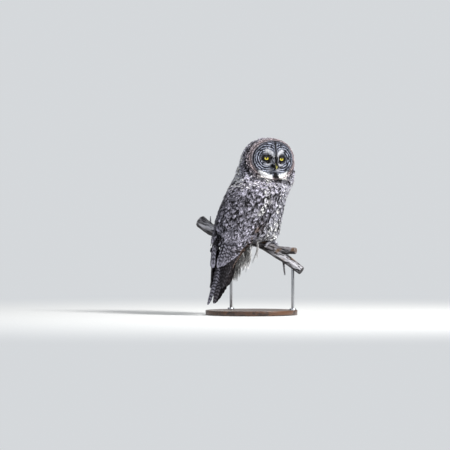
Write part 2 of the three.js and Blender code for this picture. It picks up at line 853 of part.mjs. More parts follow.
const body = fuse([trunk(TRUNK_BOTTOM, TRUNK_TOP), rump()]);
const bird = body.subtract(wingRoom).subtract(perchRoom);
const plumed = fuse([bird, ...plumes()]);
const torso = plumed
  .trimByPlane([0, 0, -1], -NECK_LOW)
  .subtract(grownLegs)
  .trimByPlane([-tailPlane[0], 0, -tailPlane[2]], -tailCutAt);
const above = fuse([headShell(), bird]);
const neck = above.trimByPlane([0, 0, 1], NECK_LOW + GAP).trimByPlane([0, 0, -1], -NECK_TOP);
owl.add(node("torso", torso, plumage, 0.12));
owl.add(node("neck", neck, plumage));

const sockets = fuse([1, -1].map((side) => eyeBall(side, EYE_R + 2 * LID_CLEAR + LID_THICK)));
const upperBill = mandible(UPPER_BILL);
const grownBill = mandible(UPPER_BILL, GAP);
const lowerBill = mandible(LOWER_BILL).subtract(grownBill);
const head = above
  .trimByPlane([0, 0, 1], NECK_TOP + GAP)
  .subtract(sockets)
  .subtract(grownBill)
  .subtract(mandible(LOWER_BILL, GAP));
owl.add(node("head", head, face));
for (const [name, side] of [["left", 1], ["right", -1]]) {
  owl.add(node("eye_" + name, eyeBall(side, EYE_R), iris));
  owl.add(node("eyelid_" + name, eyeLid(side), lid));
}
owl.add(node("bill_upper", fuse([upperBill]).subtract(fuse([nostril(1), nostril(-1)])), horn));
owl.add(node("bill_lower", lowerBill, horn));

for (const [name, side] of [["left", 1], ["right", -1]]) {
  owl.add(node("wing_" + name, wing(side), quills, 0.1));
  const clearFoot = foot(side, GAP);
  const shin = leg(side).subtract(clearFoot).subtract(wingRoom).subtract(grownPerch);
  owl.add(node("leg_" + name, shin, fluff));
  owl.add(node("foot_" + name, foot(side).subtract(grownPerch), fluff));
  for (const shape of TOES) {
    owl.add(node(`claw_${name}_${shape.name}`, clawOf(side, shape).subtract(clearFoot), claw));
  }
}
owl.add(node("tail", tail().trimByPlane(tailPlane, tailCutAt + GAP), quills));
owl.add(node("perch_branch", perch(), bark));

// Stand: a round base and two rods that hold the branch
const stand = new THREE.Group();
const edge = 3;
const disc = new THREE.LatheGeometry(
  [
    [0, 0],
    [BASE_R - edge, 0],
    [BASE_R, edge],
    [BASE_R, BASE_H - edge],
    [BASE_R - edge, BASE_H],
    [0, BASE_H],
  ].map(([r, z]) => new THREE.Vector2(r, z)),
  36,
).rotateX(90 * DEG);
const base = solid(disc);
for (const [name, along] of [["left", 122], ["right", -128]]) {
  const { point } = perchAt(along);
  const x = point.x + SEAT_X;
  const y = point.y;
  const top = point.z + SEAT_Z;
  const rod = new THREE.CylinderGeometry(ROD_R, ROD_R, top - BASE_H - GAP, 14).rotateX(90 * DEG);
  rod.translate(x, y, (top + BASE_H + GAP) / 2);
  const collar = new THREE.CylinderGeometry(ROD_R + 6, ROD_R + 8, 6, 20).rotateX(90 * DEG);
  collar.translate(x, y, BASE_H + GAP + 3);
  const held = fuse([solid(rod), solid(collar)]).subtract(grownPerch.translate(SEAT_X, 0, SEAT_Z));
  stand.add(node("stand_rod_" + name, held, steel));
}
stand.add(node("stand_base", base, wood));

const root = new THREE.Group();
root.add(owl, stand);
export default root;
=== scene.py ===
# A great grey owl perched on a cut length of dead branch, life size, on a plain display stand.
# Shapes are worked out in millimetres from the seat, the point on the branch's axis between the feet, and
# turned to metres as each mesh is made. The body faces +X, its left is +Y, and the head looks back.
import itertools
import json
import math

import bpy
import numpy as np
from mathutils import Matrix, Vector
from mathutils.bvhtree import BVHTree

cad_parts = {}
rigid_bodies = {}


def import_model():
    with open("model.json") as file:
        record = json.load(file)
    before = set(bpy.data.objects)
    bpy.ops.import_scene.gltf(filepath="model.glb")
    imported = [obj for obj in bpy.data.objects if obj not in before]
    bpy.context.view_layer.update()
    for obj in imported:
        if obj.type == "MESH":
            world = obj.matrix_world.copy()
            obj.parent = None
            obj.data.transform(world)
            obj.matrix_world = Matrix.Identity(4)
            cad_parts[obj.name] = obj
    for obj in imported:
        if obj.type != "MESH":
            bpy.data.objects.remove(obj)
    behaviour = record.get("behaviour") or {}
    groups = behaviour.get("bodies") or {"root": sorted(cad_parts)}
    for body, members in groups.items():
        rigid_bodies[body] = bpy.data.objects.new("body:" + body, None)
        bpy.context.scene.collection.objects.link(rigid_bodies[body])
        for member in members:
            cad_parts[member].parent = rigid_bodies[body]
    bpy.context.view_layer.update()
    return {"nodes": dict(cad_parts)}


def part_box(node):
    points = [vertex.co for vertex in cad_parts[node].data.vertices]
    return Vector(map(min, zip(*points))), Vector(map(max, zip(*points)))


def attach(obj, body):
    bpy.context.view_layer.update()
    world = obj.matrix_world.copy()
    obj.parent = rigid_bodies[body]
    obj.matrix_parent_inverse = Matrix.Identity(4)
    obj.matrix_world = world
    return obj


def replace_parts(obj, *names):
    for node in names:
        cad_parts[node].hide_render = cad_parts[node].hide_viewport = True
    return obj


# nothing of Blender's own start-up file stays in the scene
for leftover in list(bpy.data.objects):
    bpy.data.objects.remove(leftover)
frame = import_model()

# Camera and studio
# A long lens looks level at the bird from behind its right side. The floor is a wide pale sheet, and the
# light is a bright overcast room with a large soft lamp high on the camera's right.
scene = bpy.context.scene
scene.view_settings.view_transform = "Standard"
VIEW_TURN = math.radians(-40)
VIEW_POINT = Vector((-0.0543, 0.0833, 0.3229))
VIEW_DISTANCE = 10
FIELD_WIDTH = 1.62
FAR_LIMIT = 500
LAMP_AIM = Vector((0, 0, 0.35))
STUDIO_AIR = (0.9, 0.93, 0.96, 1)
STUDIO_LIGHT = 0.74
ROOM_GLOW = 0.28
FLOOR_WIDTH = 120
FLOOR_GREY = (0.66, 0.67, 0.67, 1)
FLOOR_FADE = (0.3, 2.6)

view_line = Vector((-math.sin(VIEW_TURN), math.cos(VIEW_TURN), 0))
bpy.ops.object.camera_add(
    location=VIEW_POINT - VIEW_DISTANCE * view_line, rotation=(math.pi / 2, 0, VIEW_TURN)
)
camera = bpy.context.object
camera.data.lens = camera.data.sensor_width * VIEW_DISTANCE / FIELD_WIDTH
camera.data.clip_end = FAR_LIMIT
scene.camera = camera


def soft_lamp(name, place, size, power, tint):
    bpy.ops.object.light_add(type="AREA", location=place)
    lamp = bpy.context.object
    lamp.name = name
    lamp.data.shape = "DISK"
    lamp.data.size = size
    lamp.data.energy = power
    lamp.data.color = tint
    lamp.rotation_euler = (LAMP_AIM - Vector(place)).to_track_quat("-Z", "Y").to_euler()


soft_lamp("lamp_key", (0.9, -3.2, 3.1), size=1.1, power=325, tint=(1, 0.985, 0.965))
soft_lamp("lamp_fill", (-3.4, -1.2, 1.8), size=2.4, power=38, tint=(0.9, 0.94, 1))
soft_lamp("lamp_back", (1.6, 3.2, 3), size=2.2, power=80, tint=(1, 0.99, 0.97))


class Recipe:
    """Adds nodes to a material or a node group, and joins them as they are added."""

    def __init__(self, tree):
        self.tree = tree

    def add(self, kind, settings=(), **sockets):
        """A shader node with its settings, and with its sockets fed by name."""
        node = self.tree.nodes.new("ShaderNode" + kind)
        for key, value in dict(settings).items():
            setattr(node, key, value)
        for key, value in sockets.items():
            names = [s for s in node.inputs if s.name.replace(" ", "_") == key and s.enabled]
            self.feed(names[0], value)
        return node

    def feed(self, socket, value):
        if isinstance(value, bpy.types.NodeSocket):
            self.tree.links.new(value, socket)
        else:
            socket.default_value = value

    def math(self, operation, *values, clamp=False):
        node = self.add("Math", dict(operation=operation, use_clamp=clamp))
        for socket, value in zip(node.inputs, values):
            self.feed(socket, value)
        return node.outputs[0]

    def times(self, first, second):
        return self.math("MULTIPLY", first, second)

    def times_plus(self, first, second, third):
        return self.math("MULTIPLY_ADD", first, second, third)

    def step(self, value, low, high, to_low=0.0, to_high=1.0):
        """A smooth change from one level to another, as a value goes from low to high."""
        node = self.add("MapRange", dict(interpolation_type="SMOOTHSTEP"))
        for socket, given in zip(node.inputs, (value, low, high, to_low, to_high)):
            self.feed(socket, given)
        return node.outputs[0]

    def blend(self, share, first, second, mode="MIX"):
        """One colour blended into another. The mix node keeps its colour sockets at 6 and 7."""
        node = self.add("Mix", dict(data_type="RGBA", blend_type=mode))
        for socket, value in zip((node.inputs[0], *node.inputs[6:8]), (share, first, second)):
            self.feed(socket, value)
        return node.outputs[2]

    def noise(self, where, scale, detail=2.0, roughness=0.5):
        node = self.add("TexNoise", Vector=where, Scale=scale, Detail=detail, Roughness=roughness)
        return node.outputs["Fac"]

    def own_place(self):
        """Places on the piece itself, which its pattern reads."""
        return self.add("TexCoord").outputs["Object"]

    def attribute(self, name, output="Color"):
        return self.add("Attribute", dict(attribute_name=name)).outputs[output]

    def relief(self, shader, strength, distance, height):
        """Raises or sinks what the light sees of a surface."""
        relief = self.add("Bump", Strength=strength, Distance=distance, Height=height)
        self.feed(shader.inputs["Normal"], relief.outputs["Normal"])

    def use(self, group, **sockets):
        """Places a node group in a material, with its own values."""
        node = self.add("Group", dict(node_tree=group))
        for key, value in sockets.items():
            self.feed(node.inputs[key], value)
        return node.outputs


def new_material(name, roughness):
    """A material with its recipe and its main shader."""
    material = bpy.data.materials.new(name)
    material.use_nodes = True
    shader = material.node_tree.nodes["Principled BSDF"]
    shader.inputs["Roughness"].default_value = roughness
    return material, Recipe(material.node_tree), shader


def studio_strength(make, socket):
    """Pale where the camera sees it, and dimmer as light on the bird."""
    seen = make.add("LightPath").outputs["Is Camera Ray"]
    make.feed(socket, make.times_plus(seen, STUDIO_LIGHT - ROOM_GLOW, ROOM_GLOW))


world = bpy.data.worlds.new("studio_air")
world.use_nodes = True
air = world.node_tree.nodes["Background"]
air.inputs["Color"].default_value = STUDIO_AIR
studio_strength(Recipe(world.node_tree), air.inputs["Strength"])
scene.world = world

bpy.ops.object.select_all(action="DESELECT")
bpy.ops.mesh.primitive_plane_add(size=FLOOR_WIDTH)
floor = bpy.context.object
floor.name = "studio_floor"
# the floor fades into the air, so that no horizon shows
floor_paint, make, floor_shader = new_material("studio_floor_paint", roughness=0.9)
floor_shader.inputs["Base Color"].default_value = FLOOR_GREY
floor_glow = make.add("Emission", Color=STUDIO_AIR)
studio_strength(make, floor_glow.inputs["Strength"])
floor_reach = make.add("VectorMath", dict(operation="LENGTH"), Vector=make.own_place())
floor_fade = make.add("MixShader", Fac=make.step(floor_reach.outputs["Value"], *FLOOR_FADE))
make.feed(floor_fade.inputs[1], floor_shader.outputs["BSDF"])
make.feed(floor_fade.inputs[2], floor_glow.outputs["Emission"])
make.feed(floor_paint.node_tree.nodes["Material Output"].inputs["Surface"], floor_fade.outputs["Shader"])
floor.data.materials.append(floor_paint)

# Form of the body
# The bird's bulk as its plumage rounds it: trunk, neck and ruff, head, rump, folded wings and thighs. Each
# is moulded from a ball or a sheet, and all are then melted into one closed surface for feathers to lie on.
MM = 0.001
SEAT = np.array((45.0, 0.0, 244.0))
HEAD_TURN = math.radians(-107)
HEAD_ROLL = math.radians(-2.5)
NECK_PIVOT = (25, 315)
HEAD_REACH = 25
TRUNK_TOP = 298
TRUNK_BOTTOM = 14
BOTTOM_ROUND = 34
# shares of the way down the trunk at which its closed top ends and its rounded bottom starts
TRUNK_SHOULDER = 0.08
TRUNK_HEM = 0.85
# heights at which the trunk turns into the ruff, and how much later it does so behind the head
RUFF_FROM = 196
RUFF_TO = 262
RUFF_LATE = 26


def metres(points):
    return (np.asarray(points) + SEAT) * MM


def mix(a, b, share):
    return a + (b - a) * share


def bump(value, width):
    return np.exp(-((value / width) ** 2))


def ease(share):
    t = np.clip(share, 0, 1)
    return t * t * (3 - 2 * t)


def stations(*rows):
    """A smooth function through rows of a key and the values there."""
    table = np.array(rows, float)
    keys, values = table[:, 0], table[:, 1:]
    steps = np.diff(keys)[:, None]
    straight = np.diff(values, axis=0) / steps
    slopes = np.empty_like(values)
    slopes[1:-1] = (values[2:] - values[:-2]) / (steps[1:] + steps[:-1])
    slopes[0] = 1.5 * straight[0] - slopes[1] / 2
    slopes[-1] = 1.5 * straight[-1] - slopes[-2] / 2

    def at(key):
        place = np.clip(np.asarray(key, float), keys[0], keys[-1])
        i = np.clip(np.searchsorted(keys, place) - 1, 0, len(keys) - 2)
        step = steps[i][..., 0]
        t = ((place - keys[i]) / step)[..., None]
        low, high = values[i], values[i + 1]
        rise, fall = slopes[i] * step[..., None], slopes[i + 1] * step[..., None]
        cubic = 2 * low - 2 * high + rise + fall
        square = 3 * high - 3 * low - 2 * rise - fall
        return np.moveaxis(((cubic * t + square) * t + rise) * t + low, -1, 0)

    return at


# by height: back, side, front and half width of the trunk
trunk_at = stations(
    (14, -178, -92, 52, 72),
    (46, -184, -66, 68, 84),
    (90, -185, -58, 69, 102),
    (165, -147, -33, 82, 111),
    (230, -106, 4, 112, 114),
    (260, -92, 16, 118, 112),
)
# by height: front, side and back reach of the neck, square to the turned head
ruff_at = stations(
    (200, 78, 108, 112),
    (236, 70, 108, 112),
    (262, 62, 110, 110),
    (284, 54, 108, 90),
    (296, 48, 101, 80),
)
# by height: back, side and half width of the folded wings over the back
sleeve_at = stations(
    (-215, -232, -200, 40),
    (-130, -224, -192, 45),
    (-92, -220, -184, 52),
    (-47, -214, -162, 66),
    (-15, -210, -137, 79),
    (16, -206, -115, 90),
    (46, -197, -93, 99),
    (90, -187, -64, 108),
    (165, -148, -33, 112),
    (230, -106, 4, 114),
    (260, -92, 16, 112),
)
# by height: upper and front edge of the wing, in degrees round from the back
wing_edges_at = stations(
    (-20, 4, 84),
    (16, 5, 86),
    (46, 6, 86),
    (90, 14, 88),
    (165, 36, 98),
    (200, 50, 106),
    (216, 60, 106),
)


def trunk_form(share, turn):
    """The trunk from its top down, an upright form that blends into the ruff round the turned neck."""
    swing = np.clip((share - TRUNK_HEM) / (1 - TRUNK_HEM), 0, 1) * math.pi / 2
    level = np.clip((share - TRUNK_SHOULDER) / (TRUNK_HEM - TRUNK_SHOULDER), 0, 1)
    z = mix(TRUNK_TOP, TRUNK_BOTTOM + BOTTOM_ROUND, level) - BOTTOM_ROUND * np.sin(swing)
    back, side, front, half = trunk_at(z)
    depth = np.where(np.cos(turn) > 0, side - back, front - side)
    body = np.stack((side - depth * np.cos(turn), half * np.sin(turn)))
    ahead, aside, behind = ruff_at(z)
    from_face = math.pi - turn - HEAD_TURN
    facing = np.cos(from_face)
    reach = 1 / np.hypot(facing / np.where(facing > 0, ahead, behind), np.sin(from_face) / aside)
    ruff = np.stack((NECK_PIVOT[0] - reach * np.cos(turn), reach * np.sin(turn)))
    late = RUFF_LATE * ease((0.1 - facing) / 0.5)
    x, y = mix(body, ruff, ease((z - RUFF_FROM - late) / (RUFF_TO - RUFF_FROM)))
    width = np.cos(swing) * np.minimum(1, share / TRUNK_SHOULDER)
    return np.stack((mix(side, x, width), y * width, z), -1)


# by share of the way down: x and height of the rump's middle line
rump_at = stations((0, -62, 96), (0.33, -104, 50), (0.67, -146, 6), (1, -170, -34))
# half depth and half width of the rump, at its root and at its end
RUMP_DEEP = (58, 22)
RUMP_HALF = (84, 34)


def rump_form(share, turn):
    """The rump and the tail's root, a tapering form along a bent line."""
    x, z = rump_at(share)
    nearby_x, nearby_z = rump_at(share + 0.02)
    tilt = np.arctan2(nearby_z - z, nearby_x - x + 1e-6)
    closing = np.sqrt(np.clip(1 - (2 * share - 1) ** 6, 0, 1))
    deep = mix(*RUMP_DEEP, ease(share)) * closing * np.cos(turn)
    half = mix(*RUMP_HALF, ease(share)) * closing * np.sin(turn)
    return np.stack((x - deep * np.sin(tilt), half, z + deep * np.cos(tilt)), -1)


# The head stands in a frame of its own: x out of the face, y to the bird's left, z up
head_pose = (
    Matrix.Translation(
        (
            NECK_PIVOT[0] + HEAD_REACH * math.cos(HEAD_TURN),
            HEAD_REACH * math.sin(HEAD_TURN),
            NECK_PIVOT[1],
        )
    )
    @ Matrix.Rotation(HEAD_TURN, 4, "Z")
    @ Matrix.Rotation(HEAD_ROLL, 4, "X")
)
head_axes = np.array(head_pose.to_3x3())
head_origin = np.array(head_pose.translation)
DISC_HALF, DISC_UP, DISC_DOWN = 79, 66, 65
SKULL_HALF, SKULL_UP, SKULL_DOWN = 98, 78, 72
SKULL_X, SKULL_DEEP, SKULL_DROOP = -18, 98, 38
# how much wider the head is at the jowls
SKULL_JOWL = 0.3
# how far the face stands out in the middle, and on its rim at the sides and at top and bottom
FACE_FRONT, RIM_SIDE, RIM_END = 57, 30, 44
# shares of the way from the face's middle to the back of the skull: the disc's rim and the widest ring
RIM_SHARE, SKULL_SHARE = 0.42, 0.6


def in_head(points):
    return points @ head_axes.T + head_origin


def disc_share(y, z):
    """How far out on the facial disc a place is: 0 in the middle and 1 on its rim."""
    return np.hypot(y / DISC_HALF, z / np.where(z > 0, DISC_UP, DISC_DOWN))


def face_x(y, z):
    """How far the face stands out: a low dome with bowls round the eyes, a ridge, brows and a rim."""
    high = np.where(z > 0, DISC_UP, DISC_DOWN)
    q = np.clip(disc_share(y, z), 1e-4, 1)
    rim = mix(RIM_SIDE, RIM_END, (z / high / q) ** 2)
    form = rim + (FACE_FRONT - rim) * (1 - q**1.6)
    bowl = 11 * bump(np.abs(y) - 32, 20) * bump(z - 2, 27)
    ridge = 8 * bump(y, 9) * ease((z + 34) / 30) * ease((70 - z) / 60)
    brow = 4 * bump(np.abs(y) - 14, 7) * bump(z - 13, 15)
    lip = 5 * bump(q - 0.96, 0.07)
    return form - bowl + ridge + brow + lip - 5 * bump(1 - q, 0.03)


def head_form(share, turn):
    """Share 0 is the middle of the face and 1 the back of the skull."""
    wide_y = SKULL_HALF * np.cos(turn) * (1 + SKULL_JOWL * np.clip(-np.sin(turn), 0, 1))
    wide_z = np.where(np.sin(turn) > 0, SKULL_UP, SKULL_DOWN) * np.sin(turn)
    disc_y = DISC_HALF * np.cos(turn)
    disc_z = np.where(np.sin(turn) > 0, DISC_UP, DISC_DOWN) * np.sin(turn)
    q = np.clip(share / RIM_SHARE, 0, 1)
    face = np.stack((face_x(disc_y * q, disc_z * q), disc_y * q, disc_z * q), -1)
    round_rim = np.clip((SKULL_SHARE - share) / (SKULL_SHARE - RIM_SHARE), 0, 1) * math.pi / 2
    edge_x = face_x(disc_y * 0.999, disc_z * 0.999)
    rim = np.stack(
        (
            mix(SKULL_X, edge_x, np.sin(round_rim)),
            mix(disc_y, wide_y, np.cos(round_rim)),
            mix(disc_z, wide_z, np.cos(round_rim)),
        ),
        -1,
    )
    behind = np.clip((1 - share) / (1 - SKULL_SHARE), 0, 1) * math.pi / 2
    back_x = SKULL_X - SKULL_DEEP * np.cos(behind)
    back_z = wide_z * np.sin(behind) - SKULL_DROOP * np.cos(behind)
    back = np.stack((back_x, wide_y * np.sin(behind), back_z), -1)
    behind_face = np.where((share < SKULL_SHARE)[:, None], rim, back)
    return in_head(np.where((share < RIM_SHARE)[:, None], face, behind_face))


def sleeve_place(z, turn, lift, side):
    """A place over the wings' outline, by height and by turn from the middle of the back."""
    back, middle, half = sleeve_at(z)
    depth = middle - back
    out_x, out_y = -np.cos(turn) / depth, np.sin(turn) / half
    length = np.hypot(out_x, out_y)
    x = middle - depth * np.cos(turn) + out_x / length * lift
    y = side * (half * np.sin(turn) + out_y / length * lift)
    return np.stack((x, y, z + np.zeros_like(x)), -1)


WING_BOTTOM, WING_TOP = -20, 213
SLAB_FACES = (-1, -20)


def wing_span(z):
    """The turns between which the folded wing lies, drawn together towards its top."""
    upper, front = wing_edges_at(z)
    middle = (upper + front) / 2
    spread = mix(0.6, 1, ease((WING_TOP + 4 - z) / 40))
    return np.radians(mix(middle, upper, spread)), np.radians(mix(middle, front, spread))


def read_out(items, key, each=1, kind=np.int32):
    """One property of all of a mesh's items as an array."""
    values = np.empty(len(items) * each, kind)
    items.foreach_get(key, values)
    return values


def places_of(piece):
    return read_out(piece.data.vertices, "co", 3, np.float32).reshape(-1, 3).astype(float)


def normals_of(piece):
    return read_out(piece.data.vertex_normals, "vector", 3, np.float32).reshape(-1, 3)


def put_places(piece, places):
    piece.data.vertices.foreach_set("co", np.asarray(places, np.float32).ravel())
    piece.data.update()


def moulded_ball(name, form, segments, rings):
    """A ball moulded by the share of the way from its north pole and by turn."""
    bpy.ops.object.select_all(action="DESELECT")
    bpy.ops.mesh.primitive_uv_sphere_add(segments=segments, ring_count=rings, radius=1)
    ball = bpy.context.object
    ball.name = name
    places = places_of(ball)
    share = np.arccos(np.clip(places[:, 2], -1, 1)) / math.pi
    put_places(ball, metres(form(share, np.arctan2(places[:, 1], places[:, 0]))))
    return ball


def vane_quads(along, across):
    """Faces of one closed vane: an upper grid, and an under grid that shares its border."""
    upper = np.arange((along + 1) * (across + 1)).reshape(along + 1, across + 1)
    under = upper.copy()
    inner = (along - 1) * (across - 1)
    under[1:-1, 1:-1] = upper.size + np.arange(inner).reshape(along - 1, across - 1)

    def quads(grid):
        corners = (grid[:-1, :-1], grid[:-1, 1:], grid[1:, 1:], grid[1:, :-1])
        return np.stack(corners, -1).reshape(-1, 4)

    return np.concatenate((quads(upper), quads(under)[:, ::-1]))


def joined_vanes(name, upper, under):
    """One mesh of many vanes. Both grids are (vane, along, across, xyz), in metres."""
    count, rows, columns = upper.shape[:3]
    inner = under[:, 1:-1, 1:-1].reshape(count, -1, 3)
    places = np.concatenate((upper.reshape(count, -1, 3), inner), axis=1)
    quads = vane_quads(rows - 1, columns - 1)
    faces = quads[None] + (np.arange(count) * places.shape[1])[:, None, None]
    mesh = bpy.data.meshes.new(name)
    mesh.vertices.add(count * places.shape[1])
    mesh.vertices.foreach_set("co", places.astype(np.float32).ravel())
    mesh.loops.add(faces.size)
    mesh.loops.foreach_set("vertex_index", faces.astype(np.int32).ravel())
    mesh.polygons.add(faces.size // 4)
    mesh.polygons.foreach_set("loop_start", np.arange(0, faces.size, 4, dtype=np.int32))
    mesh.update(calc_edges=True)
    mesh.polygons.foreach_set("use_smooth", np.ones(faces.size // 4, bool))
    piece = bpy.data.objects.new(name, mesh)
    scene.collection.objects.link(piece)
    return piece


def wing_slab(side):
    """The folded wing's body, a thick sheet over the flank."""
    levels = np.linspace(WING_BOTTOM, WING_TOP, 70)[None, :, None]
    upper, front = wing_span(levels)
    turn = mix(upper, front, np.linspace(0, 1, 32)[None, None, :])
    if side < 0:
        turn = turn[:, :, ::-1]
    sheets = [sleeve_place(levels + 0 * turn, turn, lift, side) for lift in SLAB_FACES]
    return joined_vanes("wing_slab", *(metres(sheet)[:, ::-1] for sheet in sheets))


def pick(piece):
    """Selects one piece alone, so that an operator acts on nothing else."""
    bpy.ops.object.select_all(action="DESELECT")
    piece.select_set(True)
    bpy.context.view_layer.objects.active = piece


def work(piece, kind, **settings):
    """Adds a modifier to the active piece and applies it."""
    modifier = piece.modifiers.new("work", kind)
    for key, value in settings.items():
        setattr(modifier, key, value)
    bpy.ops.object.modifier_apply(modifier=modifier.name)


def melt(parts, name, cell, rounds):
    """Joins closed parts into one skin of even cells, smoothed in some rounds."""
    bpy.ops.object.select_all(action="DESELECT")
    for part in parts:
        part.select_set(True)
    bpy.context.view_layer.objects.active = parts[0]
    bpy.ops.object.join()
    whole = bpy.context.object
    whole.name = name
    work(whole, "REMESH", mode="VOXEL", voxel_size=cell, use_smooth_shade=True)
    work(whole, "SMOOTH", factor=0.6, iterations=rounds)
    return whole


def loose_copy(node, name):
    """A CAD node's shape as a mesh of its own, with its doubles merged."""
    piece = bpy.data.objects.new(name, frame["nodes"][node].data.copy())
    scene.collection.objects.link(piece)
    piece.data.materials.clear()
    pick(piece)
    bpy.ops.object.mode_set(mode="EDIT")
    bpy.ops.mesh.select_all(action="SELECT")
    bpy.ops.mesh.remove_doubles(threshold=1e-6)
    bpy.ops.object.mode_set(mode="OBJECT")
    return piece


bulk = melt(
    [
        moulded_ball("trunk_form", trunk_form, 128, 96),
        moulded_ball("rump_form", rump_form, 48, 32),
        moulded_ball("head_form", head_form, 144, 120),
        wing_slab(1),
        wing_slab(-1),
        loose_copy("leg_left", "thigh_left"),
        loose_copy("leg_right", "thigh_right"),
    ],
    "owl_skin",
    cell=0.0026,
    rounds=6,
)


def local_of(points):
    return points / MM - SEAT


def head_place(local):
    return (local - head_origin) @ head_axes


# the down under the back of the head fills in the step between head and neck
NAPE_HEIGHT, NAPE_HALF, NAPE_LEAST = 250, 30, 0.02
nape = bulk.vertex_groups.new(name="nape")
bulk_local = local_of(places_of(bulk))
behind_face = -10 - head_place(bulk_local)[:, 0]
for index, share in enumerate(bump(bulk_local[:, 2] - NAPE_HEIGHT, NAPE_HALF) * ease(behind_face / 30)):
    if share > NAPE_LEAST:
        nape.add([index], share, "REPLACE")
work(bulk, "SMOOTH", vertex_group="nape", factor=0.9, iterations=60)


class Surface:
    """A mesh that feathers are laid on: nearest places on it, with its smoothed normals."""

    def __init__(self, piece):
        mesh = piece.data
        places = places_of(piece)
        corners = read_out(mesh.loops, "vertex_index")
        starts = read_out(mesh.polygons, "loop_start")
        totals = read_out(mesh.polygons, "loop_total")
        sums = np.add.reduceat(normals_of(piece)[corners], starts)
        self.normals = sums / np.linalg.norm(sums, axis=1, keepdims=True)
        self.centres = np.add.reduceat(places[corners], starts) / totals[:, None]
        self.areas = read_out(mesh.polygons, "area", kind=np.float32).astype(float)
        faces = [corners[a : a + n].tolist() for a, n in zip(starts, totals)]
        self.tree = BVHTree.FromPolygons(places.tolist(), faces)

    def nearest(self, points):
        """The nearest place on the mesh for each point, and the normal there."""
        flat = points.reshape(-1, 3)
        spots = np.empty_like(flat)
        faces = np.empty(len(flat), int)
        find = self.tree.find_nearest
        for i, point in enumerate(flat.tolist()):
            spot, _, face, _ = find(point)
            spots[i] = spot
            faces[i] = face
        return spots.reshape(points.shape), self.normals[faces].reshape(points.shape)


body_surface = Surface(bulk)

# the skin itself lies under the coat
COAT_DEPTH = 0.0055
put_places(bulk, places_of(bulk) - COAT_DEPTH * normals_of(bulk))
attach(bulk, "root")
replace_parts(bulk, "head", "neck", "torso", "leg_left", "leg_right")

# Feather colours
# Each feather carries its own ground colour and the strength of its marks, and one pattern draws them: a
# dark streak down the shaft, wavy cross bars, a pale tip and fine barbs. Colours are those of a grey owl.
RNG = np.random.default_rng(20)


def paint(red, green, blue):
    """A screen colour in 0 to 255 as the linear colour that materials take."""
    share = np.array((red, green, blue)) / 255
    return np.where(share <= 0.04045, share / 12.92, ((share + 0.055) / 1.055) ** 2.4)


INK = paint(17, 14, 16)
SMOKE = paint(96, 89, 92)
ASH = paint(149, 144, 154)
PEARL = paint(190, 187, 203)
FROST = paint(223, 223, 238)
SNOW = paint(250, 250, 250)
RUSSET = paint(168, 138, 122)
BROWN = paint(124, 104, 92)


def node_group(name, takes, gives):
    """An empty shader group with its sockets, its recipe, and its input and output nodes."""
    group = bpy.data.node_groups.new(name, "ShaderNodeTree")
    for way, rows in (("INPUT", takes), ("OUTPUT", gives)):
        for label, kind in rows.items():
            group.interface.new_socket(name=label, in_out=way, socket_type="NodeSocket" + kind)
    recipe = Recipe(group)
    given = group.nodes.new("NodeGroupInput")
    result = group.nodes.new("NodeGroupOutput")
    return group, recipe, given.outputs, result.inputs


# a vane's map runs across it within one whole number, and the whole number tells feathers apart
VANE_SPAN = 0.48
VANE_FROM = -0.5 / VANE_SPAN
BARS_SCALE = 10
PALER = (1.55, 1.55, 1.55, 1)


